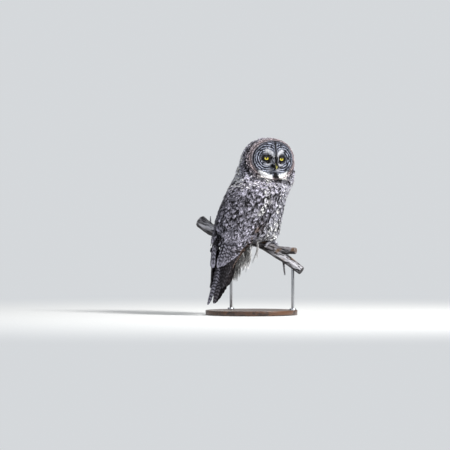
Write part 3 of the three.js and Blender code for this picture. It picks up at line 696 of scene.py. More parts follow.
def feather_pattern():
    """A streak down the shaft, wavy bars, a pale tip and fine barbs. The edge and the root darken: the edge
    as painted shade in the gaps between feathers, and the root partly for its grey down and partly as
    painted shade under the feather above.
    """
    group, make, given, result = node_group(
        "feather_pattern",
        dict(
            Ground="Color",
            Ink="Color",
            Tip="Float",
            Streak="Float",
            Bars="Float",
            Barring="Float",
            Edge="Float",
            Bare="Float",
            Vane="Vector",
        ),
        dict(Color="Color", Height="Float"),
    )
    vane = make.add("SeparateXYZ", Vector=given["Vane"])
    own = make.math("FLOOR", vane.outputs["X"])
    across = make.times_plus(make.math("SUBTRACT", vane.outputs["X"], own), 1 / VANE_SPAN, VANE_FROM)
    aside = make.math("ABSOLUTE", across)
    along = vane.outputs["Y"]
    # each feather's marks waver in their own way
    spot = make.add(
        "CombineXYZ", X=make.times(across, 1.9), Y=make.times(along, 5.0), Z=make.times(own, 5.3)
    )
    wobble = make.math("SUBTRACT", make.noise(spot.outputs["Vector"], 1.0, detail=3.0, roughness=0.6), 0.5)
    worn = make.times_plus(wobble, 0.8, aside)
    narrow = make.times(given["Streak"], make.step(along, 1.0, 0.6, 0.3, 1.0))
    streak = make.step(make.math("SUBTRACT", worn, narrow), 0.06, -0.06)
    turns = make.times_plus(aside, -0.4, make.times(along, given["Bars"]))
    turns = make.times_plus(own, 0.37, turns)
    wave = make.math("SINE", make.times(make.times_plus(wobble, 1.3, turns), 2 * math.pi))
    bars = make.times(make.step(wave, -0.3, 0.1), given["Barring"])
    # a dark edge, painted as the shade in the gaps between overlapping feathers
    edge = make.times(make.step(worn, 0.72, 0.92), given["Edge"])
    dark = make.math("MAXIMUM", make.math("MAXIMUM", streak, bars), edge, clamp=True)
    # slanted barbs, fine freckles and small flecks give the ground its texture
    barbs = make.math("SINE", make.times(make.times_plus(aside, -0.25, along), 150.0))
    fleck = make.noise(make.own_place(), scale=900.0)
    tone = make.times_plus(barbs, 0.09, make.times_plus(fleck, 0.5, 0.75))
    fine = make.math("SINE", make.times(make.times_plus(wobble, 2.2, turns), 6 * math.pi))
    freckled = make.times(tone, make.step(fine, -0.2, 0.5, 1.0, 0.62))
    ground = make.blend(1.0, given["Ground"], freckled, "MULTIPLY")
    marked = make.blend(make.times(dark, 0.97), ground, given["Ink"])
    tip = make.times(make.step(make.math("ADD", along, wobble), 0.8, 1.0), given["Tip"])
    paler = make.blend(1.0, given["Ground"], PALER, "MULTIPLY")
    paler.node.clamp_result = True
    tipped = make.blend(tip, marked, paler)
    # the dusky root: partly grey down, partly painted shade where the feather above lies over it
    shade = make.step(along, make.math("SUBTRACT", given["Bare"], 0.45), given["Bare"], 0.3, 1.0)
    make.feed(result["Color"], make.blend(1.0, tipped, shade, "MULTIPLY"))
    shaft = make.step(aside, 0.1, 0.0)
    make.feed(result["Height"], make.times_plus(barbs, 0.35, shaft))
    return group


FEATHER_PATTERN = feather_pattern()


def plumage_material(name, roughness, bare):
    """Reads each feather's own colours and marks. Bare is where its dusky root ends: grey down, with painted
    shade under the feather above.
    """
    material, make, shader = new_material(name, roughness)
    marks = make.add("SeparateColor", Color=make.attribute("Marks"))
    pattern = make.use(
        FEATHER_PATTERN,
        Ground=make.attribute("Ground"),
        Ink=(*INK, 1),
        Bare=bare,
        Tip=make.attribute("Ground", "Alpha"),
        Streak=marks.outputs["Red"],
        Bars=make.times(marks.outputs["Green"], BARS_SCALE),
        Barring=marks.outputs["Blue"],
        Edge=make.attribute("Marks", "Alpha"),
        Vane=make.add("UVMap", dict(uv_map="Vane")).outputs["UV"],
    )
    make.feed(shader.inputs["Base Color"], pattern["Color"])
    make.relief(shader, strength=0.35, distance=0.0006, height=pattern["Height"])
    shader.inputs["Specular IOR Level"].default_value = 0.12
    return material


body_plumage = plumage_material("body_plumage", roughness=0.75, bare=0.9)


def moustache_at(y, z):
    """The white band along the disc's lower rim, either side of the bib."""
    aside = np.abs(y)
    rim_z = -DISC_DOWN * np.sqrt(np.clip(1 - (aside / DISC_HALF) ** 2, 0, 1))
    thick = mix(3, 7, ease((60 - aside) / 24))
    band = np.minimum(1, 1.5 * bump(z - rim_z - 1, thick))
    return band * ease((np.abs(y - 5) - 9) / 4) * ease((60 - aside) / 10)


def bib_at(y, z):
    """The black patch under the bill, ragged and wider towards its lower end."""
    half = mix(9, 12.5, ease((-50 - z) / 18)) + 2.2 * np.sin(0.9 * z + 2 * np.sin(0.4 * y))
    middle = mix(5, 13, ease((-48 - z) / 24))
    sides = ease((half - np.abs(y - middle)) / 5 + 0.5)
    return sides * ease((-42 - z + 1.5 * np.sin(y)) / 6) * ease((z + 76) / 8)


# columns of a feather's style: sizes in millimetres, ground colour, and the strengths of its marks
LENGTH, WIDTH, SPACING, GROUND, TIP, STREAK, BARS, BARRING = 0, 1, 2, slice(3, 6), 6, 7, 8, 9


def plumage_at(points):
    """The style of the feathers by place on the bird: each kind of plumage is laid over those before it."""
    local = local_of(points)
    head = head_place(local)
    z = local[:, 2]
    # turn round the trunk from the middle of the back, in degrees, and place on the disc
    back, side, front, half = trunk_at(z)
    ahead = local[:, 0] - side
    along_body = ahead / np.where(ahead > 0, front - side, side - back)
    turn = np.degrees(np.arctan2(np.abs(local[:, 1]) / half, -along_body))
    out = disc_share(head[:, 1], head[:, 2])
    on_disc_side = head[:, 0] > 0
    # how much each kind of plumage there is at a place, by height, turn and place on the head
    skull = ease((z - 262) / 22)
    neck = ease((z - 205) / 30) * (1 - skull)
    breast = ease((turn - 88) / 26) * (1 - skull)
    belly = breast * ease((146 - z) / 60)
    scapular = 0.75 * bump(turn - mix(73, 79, (z - 151) / 83), 6)
    scapular = scapular * ease((z - 136) / 20) * ease((240 - z) / 15)
    head_side = ease((z - 225) / 30) * ease((14 - head[:, 0]) / 24) * ease((66 - head[:, 2]) / 24)
    band = 0.9 * ease((1.13 - out) / 0.06) * ease((head[:, 0] - 2) / 14) * ease((z - 235) / 25)
    # brown feathers and a painted shadow line along the wing's front edge, where it meets the flank
    wing_front_brown_and_shadow = bump(turn - mix(72, 92, (z - 10) / 110), 6.5) * ease((135 - z) / 50)
    rows = (
        # weight, length, width, spacing, ground, tip, streak, bars, barring
        (1 + 0 * z, 50, 17, 7.6, PEARL * 0.6, 0.65, 0.5, 3.2, 0.97),
        (scapular, 52, 18, 7.8, SNOW * 0.8, 0.8, 0.32, 2.6, 0.85),
        (neck, 32, 13, 6.5, PEARL * 1.15, 0.8, 0.34, 2.2, 0.97),
        (breast, 44, 15, 7.8, FROST * 0.84, 0.5, 0.4, 3.4, 0.8),
        (belly, 40, 16, 7.7, mix(FROST, SNOW, 0.3), 0.7, 0.14, 4.2, 0.93),
        (wing_front_brown_and_shadow, 46, 18, 9.0, BROWN * 0.7, 0.3, 0.55, 2.0, 0.97),
        (skull, 28, 15, 8.4, PEARL * 0.56, 0.9, 0.5, 2.4, 0.97),
        (head_side, 28, 13, 7.4, FROST, 0.9, 0.2, 2.4, 0.75),
        (band, 15, 8, 4.8, mix(RUSSET, PEARL, 0.6) * 1.1, 0.3, 0.3, 1.6, 0.9),
        (moustache_at(head[:, 1], head[:, 2]) * on_disc_side, 12, 8, 4.4, SNOW, 1, 0, 1, 0),
        (bib_at(head[:, 1], head[:, 2]) * on_disc_side, 14, 8, 4.4, INK * 2, 0.1, 0.9, 2, 0.9),
    )
    style = np.zeros((len(z), BARRING + 1))
    for weight, length, width, spacing, ground, *marks in rows:
        style = mix(style, np.array((length, width, spacing, *ground, *marks)), weight[:, None])
    return style, turn, head


def lay_flow(local, head, turn):
    """The way the feathers lie: back over the skull from the face, then down and back along the body."""
    height = local[:, 2]
    over_wing = ease((turn - 40) / 35) * ease((96 - turn) / 8) * ease((170 - height) / 90)
    down = np.stack((-0.55 - 0.5 * over_wing, 0 * turn, -1 + 0 * turn), -1)
    over_head = np.array((-1.0, 0.0, -0.9)) @ head_axes.T
    outward = np.stack((0 * head[:, 0] - 0.3, head[:, 1], head[:, 2]), -1)
    outward /= np.linalg.norm(outward, axis=1, keepdims=True)
    near_disc = ease((1.3 - disc_share(head[:, 1], head[:, 2])) / 0.2) * ease((head[:, 0] + 25) / 25)
    near_disc = near_disc * ease((height - 235) / 20)
    flow = mix(down, over_head, ease((height - 258) / 34)[:, None])
    return mix(flow, outward @ head_axes.T, near_disc[:, None])


# how far a root may lie from the middle of the skin's face that it is on, in metres
ROOT_JITTER = 0.0012


def scatter(surface, tries, spacing_of, keep, stretch=(1, 1, 1)):
    """Random places on a surface, none closer to another than its own spacing."""
    chance = surface.areas / surface.areas.sum()
    picks = RNG.choice(len(chance), tries, p=chance)
    places = surface.centres[picks] + RNG.uniform(-ROOT_JITTER, ROOT_JITTER, (tries, 3))
    places = places[keep(places)]
    gaps = spacing_of(places) * MM
    cell = gaps.max()
    cells = {}
    kept = []
    for i, (place, gap) in enumerate(zip((places * stretch).tolist(), gaps.tolist())):
        key = tuple(int(c // cell) for c in place)
        near = [
            other
            for dx, dy, dz in itertools.product((-1, 0, 1), repeat=3)
            for other in cells.get((key[0] + dx, key[1] + dy, key[2] + dz), ())
        ]
        if all(math.dist(place, other) >= gap for other in near):
            cells.setdefault(key, []).append(place)
            kept.append(i)
    return places[kept]


def unit(vectors):
    return vectors / np.maximum(np.linalg.norm(vectors, axis=-1, keepdims=True), 1e-9)


def tangent(flow, normal):
    """The part of a flow that lies along a surface."""
    return unit(flow - normal * (flow * normal).sum(-1, keepdims=True))


def feather_width(v):
    """Share of the full width by share of the length: narrow at the root and round at the tip."""
    root = mix(0.45, 1, ease(v * 2.2))
    past = np.clip((v - 0.4) / 0.61, 0, 1)
    return root * np.sqrt(np.clip(1 - past**2.6, 0.01, 1))


def shares_along(along):
    """Stations from a vane's root to its tip, closer together towards the tip."""
    return 1 - (1 - np.linspace(0, 1, along + 1)) ** 1.5


def vane_shares(along, across):
    """Share of the length, and place across from -1 to 1, of each point of one vane."""
    return np.meshgrid(shares_along(along), np.linspace(-1, 1, across + 1), indexing="ij")


# barbs part in so many of the places along an edge, and only past this share of the length
SPLIT_CHANCE, SPLIT_FROM = 0.16, 0.35


def split_barbs(count, along, across):
    """How far each point of a vane stands out from its shaft: barbs part here and there along the edges."""
    spread = 1 + RNG.normal(0, 0.02, (count, along + 1, across + 1))
    chance = RNG.uniform(0, 1, (count, along + 1, 2))
    for column, side in ((0, 0), (across, 1)):
        parted = (chance[:, :, side] < SPLIT_CHANCE) & (np.arange(along + 1) > along * SPLIT_FROM)
        spread[:, :, column] *= np.where(parted, RNG.uniform(0.72, 0.9, parted.shape), 1.03)
    return spread


# thickness of a soft vane in millimetres, at its root and at its tip
SOFT_THICK = (0.5, 0.25)
# how much vanes differ in their sideways bend, in their twist and in the ends of their barbs
SWAY, TWIST, FRAY = 0.16, 0.025, 0.03
# share of its width by which a vane's middle stands up
SOFT_CROWN = 0.03


def lay_feathers(surface, roots, flow, length, width, lifts, along, across):
    """Vanes bent over a surface from their roots. Lengths in millimetres, lifts at root and tip."""
    count = len(roots)
    upper = np.zeros((count, along + 1, across + 1, 3))
    thickness = np.zeros((count, along + 1, 1, 1))
    centre, normal = surface.nearest(roots)
    heading = tangent(flow, normal)
    spread = split_barbs(count, along, across)
    sway = RNG.normal(0, SWAY, count)
    twist = RNG.normal(0, TWIST, count)
    fray = RNG.normal(0, FRAY, (count, across + 1))
    root_lift, tip_lift = lifts
    shares = shares_along(along)
    for j, v in enumerate(shares):
        half = width * MM / 2 * feather_width(v)
        aside = np.cross(heading, normal)
        for i, u in enumerate(np.linspace(-1, 1, across + 1)):
            reach = aside * (half * u * spread[:, j, i])[:, None]
            ahead = heading * (length * MM * fray[:, i] * v**6)[:, None]
            spot, out = surface.nearest(centre + reach + ahead)
            lift = mix(root_lift, tip_lift, v**1.2) + width * (SOFT_CROWN * (1 - u * u) + twist * u)
            upper[:, j, i] = spot + out * (lift * MM)[:, None]
        thickness[:, j, 0, 0] = mix(*SOFT_THICK, v) * MM
        if j < along:
            step = shares[j + 1] - v
            heading = tangent(heading + aside * (sway * step)[:, None], normal)
            centre, normal = surface.nearest(centre + heading * (length * MM * step)[:, None])
            heading = tangent(heading, normal)
    crown = np.cross(upper[:, :, -1] - upper[:, :, 0], np.gradient(upper[:, :, across // 2], axis=1))
    under = upper - thickness * unit(crown)[:, :, None, :]
    return upper, under


def add_map(mesh, name, values):
    """Writes a UV map from a value for each vertex."""
    layer = mesh.uv_layers.new(name=name)
    corners = read_out(mesh.loops, "vertex_index")
    layer.uv.foreach_set("vector", values[corners].astype(np.float32).ravel())


def add_colours(mesh, name, values):
    """Writes a colour attribute from a value for each vertex."""
    layer = mesh.color_attributes.new(name, "FLOAT_COLOR", "POINT")
    layer.data.foreach_set("color", values.astype(np.float32).ravel())


def vertex_grid(along, across):
    """Share across and along of each vertex of one vane, under side last."""
    v, u = np.meshgrid(shares_along(along), np.linspace(0, 1, across + 1), indexing="ij")
    top = np.stack((u, v), -1)
    return np.concatenate((top.reshape(-1, 2), top[1:-1, 1:-1].reshape(-1, 2)))


def crisp_rims(mesh, along, across):
    """Marks each vane's border sharp, so that its thin sheet shades evenly up to the edge."""
    grid = (along + 1) * (across + 1)
    ends = read_out(mesh.edges, "vertices", 2).reshape(-1, 2) % (grid + (along - 1) * (across - 1))
    row, column = np.divmod(ends, across + 1)
    on_rim = (ends < grid) & ((row == 0) | (row == along) | (column == 0) | (column == across))
    layer = mesh.attributes.new("sharp_edge", "BOOLEAN", "EDGE")
    layer.data.foreach_set("value", on_rim.all(axis=1))


# share of the baked picture that one feather takes, and how many feathers differ in their marks
BAKE_PATCH = 0.003
VANE_KINDS = 60


def dress(piece, roots, along, across, ground, marks, material, unwrap):
    """Gives a coat piece its maps, colours, material and body. Colours are by feather or by vertex."""
    mesh = piece.data
    grid = vertex_grid(along, across)
    count = len(roots)
    vane = np.tile(grid, (count, 1, 1)) * (2 * VANE_SPAN, 1) + (0.5 - VANE_SPAN, 0)
    vane[:, :, 0] += RNG.integers(0, VANE_KINDS, count)[:, None]
    add_map(mesh, "Vane", vane.reshape(-1, 2))
    spots = unwrap(roots)[:, None, :] + (grid[None] - 0.5) * BAKE_PATCH
    add_map(mesh, "OFBake", spots.reshape(-1, 2))
    for name, values in (("Ground", ground), ("Marks", marks)):
        by_feather = len(values) == count
        add_colours(mesh, name, np.repeat(values, len(grid), axis=0) if by_feather else values)
    crisp_rims(mesh, along, across)
    mesh.materials.append(material)
    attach(piece, "root")


def unwrap_round(centre, low, high):
    """An unwrap of a skin by its turn round an upright axis and its height."""

    def places(roots):
        local = local_of(roots)
        turn = np.arctan2(local[:, 1] - centre[1], local[:, 0] - centre[0]) / (2 * math.pi) + 0.5
        rise = (local[:, 2] - low) / (high - low)
        return np.clip(np.stack((turn, rise), -1), 0, 1) * 0.99 + 0.005

    return places


def varied_colours(style, turn, height):
    """Ground colours and marks for each feather, varied from feather to feather and in long stripes."""
    count = len(style)
    # broken, wavy stripes of dark and pale feathers down the body, that fade out over neck and head
    stripe = np.sin(0.46 * turn + 1.5 * np.sin(height / 33) + 0.8 * np.sin(height / 11 + turn / 9))
    broken = 0.7 + 0.5 * np.sin(height / 19 + 0.21 * turn)
    blotch = np.clip(0.5 + 0.5 * stripe * broken, 0, 1)
    even = ease((height - 200) / 40)
    light = RNG.normal(1, 0.2, count) * mix(mix(0.2, 0.85, even), 1.3, blotch)
    ground = np.ones((count, 4))
    ground[:, :3] = np.clip(style[:, GROUND] * np.clip(light, 0.25, 1.7)[:, None], 0.01, 0.9)
    ground[:, 3] = style[:, TIP] * RNG.uniform(0, 1.6, count)
    marks = np.zeros((count, 4))
    marks[:, 0] = style[:, STREAK] * RNG.uniform(0.6, 1.4, count) * mix(mix(1.8, 1.1, even), 0.75, blotch)
    marks[:, 1] = style[:, BARS] * RNG.uniform(0.85, 1.2, count) / BARS_SCALE
    marks[:, 2] = style[:, BARRING] * RNG.uniform(0.6, 1.2, count)
    return ground, marks


# Body and head plumage
# Soft overlapping contour feathers, small over the skull and neck and larger on the mantle, scapulars,
# breast and flanks. Each grows from the skin and lies along the body, its tip over the roots below it.
def on_body(places):
    """Where contour feathers grow: not on the face, under the wings' vanes or on the tail's sides."""
    local = local_of(places)
    head = head_place(local)
    in_face = (disc_share(head[:, 1], head[:, 2]) < 0.97) & (head[:, 0] > 16)
    z = local[:, 2]
    back, middle, half = sleeve_at(z)
    turn = np.arctan2(np.abs(local[:, 1]) / half, (middle - local[:, 0]) / (middle - back))
    upper, front = wing_span(z)
    ragged = 64 + 12 * np.sin(turn * 17 + 1) + 8 * np.sin(turn * 41)
    under_vanes = (z < ragged) & (turn > upper - 0.05) & (turn < front - 0.03)
    tail_side = (z < 0) & (local[:, 0] < -150)
    return ~in_face & ~under_vanes & ~tail_side & (z > -40)


# rows lie closer one over the other than feathers lie side by side
ROW_STRETCH = (1.3, 1.3, 0.72)
body_roots = scatter(body_surface, 150000, lambda p: plumage_at(p)[0][:, SPACING], on_body, ROW_STRETCH)
body_style, body_turn, body_head = plumage_at(body_roots)
body_flow = lay_flow(local_of(body_roots), body_head, body_turn) + RNG.normal(0, 0.12, (len(body_roots), 3))
body_height = local_of(body_roots)[:, 2]
body_ground, body_marks = varied_colours(body_style, body_turn, body_height)


def between(low, high):
    """Which feathers are rooted between two heights."""
    return (body_height > low) & (body_height <= high)


behind = body_turn < 92
SHORT_VANE, LONG_VANE = (7, 4), (10, 6)
BODY_PIECES = (
    # name, its feathers, steps along and across a vane, highest tip, axis and heights of its unwrap
    ("plumage_crown", between(268, math.inf), SHORT_VANE, 1.4, (20, -25), 250, 400),
    ("plumage_neck", between(205, 268), LONG_VANE, 2.2, (10, 0), 200, 272),
    ("plumage_mantle", between(116, 205) & behind, LONG_VANE, 2.2, (-40, 0), 110, 210),
    ("plumage_back", between(-math.inf, 116) & behind, LONG_VANE, 2.2, (-70, 0), -50, 120),
    ("plumage_breast", between(112, 205) & ~behind, LONG_VANE, 2.2, (-20, 0), -50, 210),
    ("plumage_belly", between(-math.inf, 112) & ~behind, LONG_VANE, 2.2, (-20, 0), -50, 120),
)
ROOT_SUNK = -5.0
for name, chosen, (along, across), highest, axis, low, high in BODY_PIECES:
    roots = body_roots[chosen]
    size = RNG.uniform(0.8, 1.2, len(roots))
    over_wing = 1.6 * ease((104 - body_height[chosen]) / 30) * behind[chosen]
    upper, under = lay_feathers(
        body_surface,
        roots,
        body_flow[chosen],
        body_style[chosen, LENGTH] * size,
        body_style[chosen, WIDTH] * size,
        (ROOT_SUNK, over_wing + RNG.uniform(0.2, highest, len(roots))),
        along,
        across,
    )
    coat = joined_vanes(name, upper, under)
    colours = body_ground[chosen], body_marks[chosen]
    dress(coat, roots, along, across, *colours, body_plumage, unwrap_round(axis, low, high))

# the skin carries the same ground colours, darker between the roots
skin_style = plumage_at(places_of(bulk))[0]
skin_ground = np.ones((len(skin_style), 4))
skin_ground[:, :3] = skin_style[:, GROUND] * 0.5
add_colours(bulk.data, "Ground", skin_ground)
skin_paint, make, shader = new_material("skin_down", roughness=0.9)
skin_mottle = make.step(make.noise(make.own_place(), scale=130.0, detail=4.0), 0.42, 0.58)
make.feed(shader.inputs["Base Color"], make.blend(skin_mottle, (*INK, 1), make.attribute("Ground")))
bulk.data.materials.append(skin_paint)

# Folded wings
# Each wing is laid in tiers like tiles: long primaries lowest, then secondaries, then greater and median
# coverts over their roots. A feather starts and ends between its tier's ends, given as height and turn.
VANE_THICK = 1.1
VANE_TILT = 2
VANE_CROWN = 0.5
# how far the wing's loose tip may spread past its edge, in degrees
FREE_TIP = 16
WING_STEPS = (18, 4)
WING_TIERS = (
    # count and width; starts and ends; lifts at root and tip and bow of the tips; ground; marks, which are
    # streak, bars, barring and the dark edge of painted shade between feathers
    (
        (10, 24),
        ((20, 70), (34, 44)),
        ((-86, 82), (-138, 44)),
        ((-9, -5.5), 26),
        ASH * 0.5,
        (0.12, 13.0, 0.9, 0.95),
    ),
    (
        (11, 30),
        ((52, 72), (70, 22)),
        ((-34, 66), (-72, 14)),
        ((-7.5, -2.4), 10),
        PEARL * 0.7,
        (0.14, 11.0, 0.85, 0.97),
    ),
    (
        (12, 30),
        ((106, 80), (116, 26)),
        ((30, 80), (14, 19)),
        ((-6.5, 0), 6),
        PEARL * 0.7,
        (0.24, 7.0, 0.85, 0.9),
    ),
)
LEADING_BROWN = paint(138, 120, 110)
flight_plumage = plumage_material("flight_plumage", roughness=0.65, bare=0.45)
wing_unwrap = unwrap_round((-60, 0), -60, 180)


def vane_width(v):
    """Share of a flight feather's full width by share of its length, its tip rounder than a soft one's."""
    past = np.clip((v - 0.5) / 0.51, 0, None)
    return mix(0.62, 1, ease(v * 2.2)) * np.sqrt(np.clip(1 - past**3, 0.01, 1))


def wing_vane(side, start, end, width, lifts, along, across):
    """One feather laid over the wing's outline, its edges kept within the wing but for its free tip."""
    v, u = vane_shares(along, across)
    z = mix(start[0], end[0], v)
    turn = np.radians(mix(start[1], end[1], v))
    back, middle, half = sleeve_at(z)
    arc = np.hypot((middle - back) * np.sin(turn), half * np.cos(turn))
    ragged = split_barbs(1, along, across)[0]
    upper_edge, front_edge = wing_span(z)
    free = np.radians(FREE_TIP * ease((30 - z) / 40))
    angle = turn + u * width * vane_width(v) * ragged / 2 / arc
    angle = np.clip(angle, upper_edge - free / 2, front_edge + free)
    lift = mix(*lifts, ease(v)) + VANE_TILT * u + VANE_CROWN * (1 - u * u)
    top = metres(sleeve_place(z, angle, lift, side))
    below = metres(sleeve_place(z, angle, lift - VANE_THICK * mix(1, 0.6, v), side))
    return (top, below) if side > 0 else (top[:, ::-1], below[:, ::-1])


def coat_of(name, tops, unders, grounds, marks, material, unwrap):
    """A dressed coat piece from lists with one entry for each vane."""
    tops = np.array(tops)
    rows, columns = tops.shape[1:3]
    coat = joined_vanes(name, tops, np.array(unders))
    roots = tops[:, 0, columns // 2]
    dress(coat, roots, rows - 1, columns - 1, np.array(grounds), np.array(marks), material, unwrap)
    return coat


def wing_feathers(side, name):
    tops, unders, grounds, marks = [], [], [], []
    for tier, ((count, width), starts, ends, (lifts, bow), ground, strengths) in enumerate(WING_TIERS):
        streak, bars, barring, edge = strengths
        for k in range(count):
            share = k / (count - 1)
            start = mix(*np.array(starts), share) + RNG.normal(0, (1.5, 0.4))
            end = mix(*np.array(ends), share) + RNG.normal(0, (2.0, 0.6))
            end[0] -= bow * math.sin(math.pi * share)
            top, below = wing_vane(side, start, end, width, lifts, *WING_STEPS)
            tops.append(top)
            unders.append(below)
            light = RNG.normal(1, 0.2)
            # primaries darken towards the back, and the two foremost coverts are dark
            dusk = (mix(1, 0.3, k / 9), 1, 0.45 if k < 2 else 1)[tier]
            tone = LEADING_BROWN if tier == 0 and k < 2 else ground * light * dusk
            grounds.append((*np.clip(tone, 0.01, 0.8), RNG.uniform(0.1, 0.8) if tier else 0.15))
            streak_here = streak * RNG.uniform(0.5, 1.5)
            bars_here = bars * RNG.uniform(0.85, 1.15) / BARS_SCALE
            marks.append((streak_here, bars_here, barring, edge))
    coat = coat_of(name, tops, unders, grounds, marks, flight_plumage, wing_unwrap)
    return coat


for side, name in ((1, "wing_left"), (-1, "wing_right")):
    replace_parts(wing_feathers(side, "feathers_" + name), name)

# Tail
# Twelve long feathers, the middle pair on top and each next one lower, barred dark across their length. Soft
# coverts fill the sides of its root under the wing tips. The right half's feathers and coverts are painted
# dark as the shade of the wings.
TAIL_LEAN = math.radians(15)
TAIL_LENGTH = 300
TAIL_TIP = np.array((-239.0, 0.0, -204.0))
TAIL_CUT = 92
TAIL_ARCH = 11
TAIL_BOW = 10
TAIL_HALF = 46
TAIL_DROP = 1.45
TAIL_STEPS = (26, 4)
TAIL_PAINTED_SHADE = (ASH * 0.45, SMOKE * 0.1, INK)
TAIL_COVERTS = 26
tail_along = np.array((-math.sin(TAIL_LEAN), 0, -math.cos(TAIL_LEAN)))
tail_out = np.array((-math.cos(TAIL_LEAN), 0, math.sin(TAIL_LEAN)))
tail_root = TAIL_TIP - TAIL_LENGTH * tail_along


def tail_place(along, across, lift):
    """A place on the tail by how far down it is, how far across, and how far it lies above the others."""
    arch = TAIL_ARCH * (across / TAIL_HALF) ** 2
    bend = TAIL_BOW * np.sin(math.pi * np.clip(along / TAIL_LENGTH, 0, 1) ** 1.3)
    height = (lift - arch - bend)[..., None]
    sideways = np.array((0, 1, 0))
    return tail_root + along[..., None] * tail_along + height * tail_out + across[..., None] * sideways


def tail_vane(along, across, lift, side=1):
    """Upper and under side of one tail feather, their columns turned round on the bird's right."""
    flip = slice(None, None, side)
    sides = (tail_place(along, across, lift), tail_place(along, across, lift - VANE_THICK))
    return [metres(places)[:, flip] for places in sides]


def tail_unwrap(roots):
    local = local_of(roots)
    return np.stack((0.5 + local[:, 1] / 120, 0.5 + (local[:, 2] + 60) / 400), -1)


def tail_feathers():
    v, u = vane_shares(*TAIL_STEPS)
    vanes, grounds, marks = [], [], []
    for side in (1, -1):
        for k in range(6):
            top_one = k == 0 and side == 1
            edge = mix(16 + k, 27 + 3.8 * k, ease(1.8 * v))
            inner = -7 if top_one else 0.6
            end = TAIL_LENGTH - 1.8 * k * k - (0 if side == 1 else 6)
            middle = mix(inner, edge, 0.62)
            reach = np.where(u < 0, middle - inner, edge - middle) * vane_width(v)
            across = side * (middle + u * reach * split_barbs(1, *TAIL_STEPS)[0])
            along = mix(TAIL_CUT + 8, end, v)
            lift = -TAIL_DROP * k - (0 if top_one else TAIL_DROP) + VANE_CROWN * (1 - u * u)
            vanes.append(tail_vane(along, across, lift, side))
            # the right half's feathers are painted dark as the shade of the wings; the left half keeps its
            # barred grey
            tone = PEARL * 0.66 if side == 1 else TAIL_PAINTED_SHADE[min(2, k)]
            grounds.append((*tone, 0.3 if side == 1 else 0))
            marks.append((0.1, 1.7, 0.85, 0.9))
    for side in (1, -1):
        for k in range(TAIL_COVERTS):
            start, end = RNG.uniform(84, 112), RNG.uniform(150, 236)
            middle = side * RNG.uniform(24, 49)
            along = mix(start, end, v)
            across = middle + u * 11 * vane_width(v) * split_barbs(1, *TAIL_STEPS)[0]
            vanes.append(tail_vane(along, across, RNG.uniform(-8, 4) + VANE_CROWN * (1 - u * u)))
            # the right coverts are painted dark as shade as well
            tone = ASH * RNG.uniform(0.35, 0.8) if side == 1 else SMOKE * RNG.uniform(0.05, 0.4)
            grounds.append((*tone, 0.4 if side == 1 else 0.05))
            marks.append((0.15, 0.6, 0.93, 0.5))
    coat = coat_of("feathers_tail", *zip(*vanes), grounds, marks, flight_plumage, tail_unwrap)
    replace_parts(coat, "tail")


tail_feathers()

# Facial disc
# Short stiff feathers spread out from each eye in a shallow bowl. Fine dark rings run round each eye, with
# pale crescents between the eyes, black round them and under the bill, and a white patch either side.
EYE_Y, EYE_Z = 28, 2
# half width of an eye's opening, and how far it reaches above and below the eye's middle
OPEN_HALF, OPEN_UP, OPEN_DOWN = 8.2, 5.2, 6.6
EYE_SUNK = 8
EYE_DEEP = float(face_x(np.array(EYE_Y), np.array(EYE_Z))) - EYE_SUNK
LID_R = 13.9
RING_PITCH = 8.0
DISC_LIGHT = paint(174, 180, 200)
DISC_DARK = paint(13, 15, 23)


def disc_pattern():
    """Dark rings round the nearer eye, wavy and broken."""
    group, make, given, result = node_group(
        "disc_pattern",
        dict(Ground="Color", Ink="Color", Rings="Float"),
        dict(Color="Color"),
    )
    place = make.own_place()
    gaps = []
    for side in (1, -1):
        eye_centre = in_head(np.array((EYE_DEEP + EYE_SUNK, side * EYE_Y, EYE_Z)))
        gap = make.add("VectorMath", dict(operation="DISTANCE"))
        make.feed(gap.inputs[0], place)
        make.feed(gap.inputs[1], Vector(metres(eye_centre)))
        gaps.append(gap.outputs["Value"])
    wobble = make.math("SUBTRACT", make.noise(place, scale=90.0, detail=3.0), 0.5)
    turns = make.times_plus(make.math("MINIMUM", *gaps), 1 / (RING_PITCH * MM), make.times(wobble, 0.9))
    wave = make.math("SINE", make.times(turns, 2 * math.pi))
    broken = make.times_plus(make.math("SUBTRACT", make.noise(place, scale=150.0), 0.42), 4.2, wave)
    ring = make.times(make.step(broken, -0.6, -0.15), given["Rings"])
    grain = make.times_plus(make.noise(place, scale=1100.0), 0.5, 0.75)
    ground = make.blend(1.0, given["Ground"], grain, "MULTIPLY")
    make.feed(result["Color"], make.blend(ring, ground, given["Ink"]))
    return group


def disc_material():
    material, make, shader = new_material("disc_plumage", roughness=0.8)
    rings = make.add("SeparateColor", Color=make.attribute("Marks")).outputs["Red"]
    pattern = make.use(disc_pattern(), Ground=make.attribute("Ground"), Ink=(*DISC_DARK, 1), Rings=rings)
    make.feed(shader.inputs["Base Color"], pattern["Color"])
    shader.inputs["Specular IOR Level"].default_value = 0.2
    return material


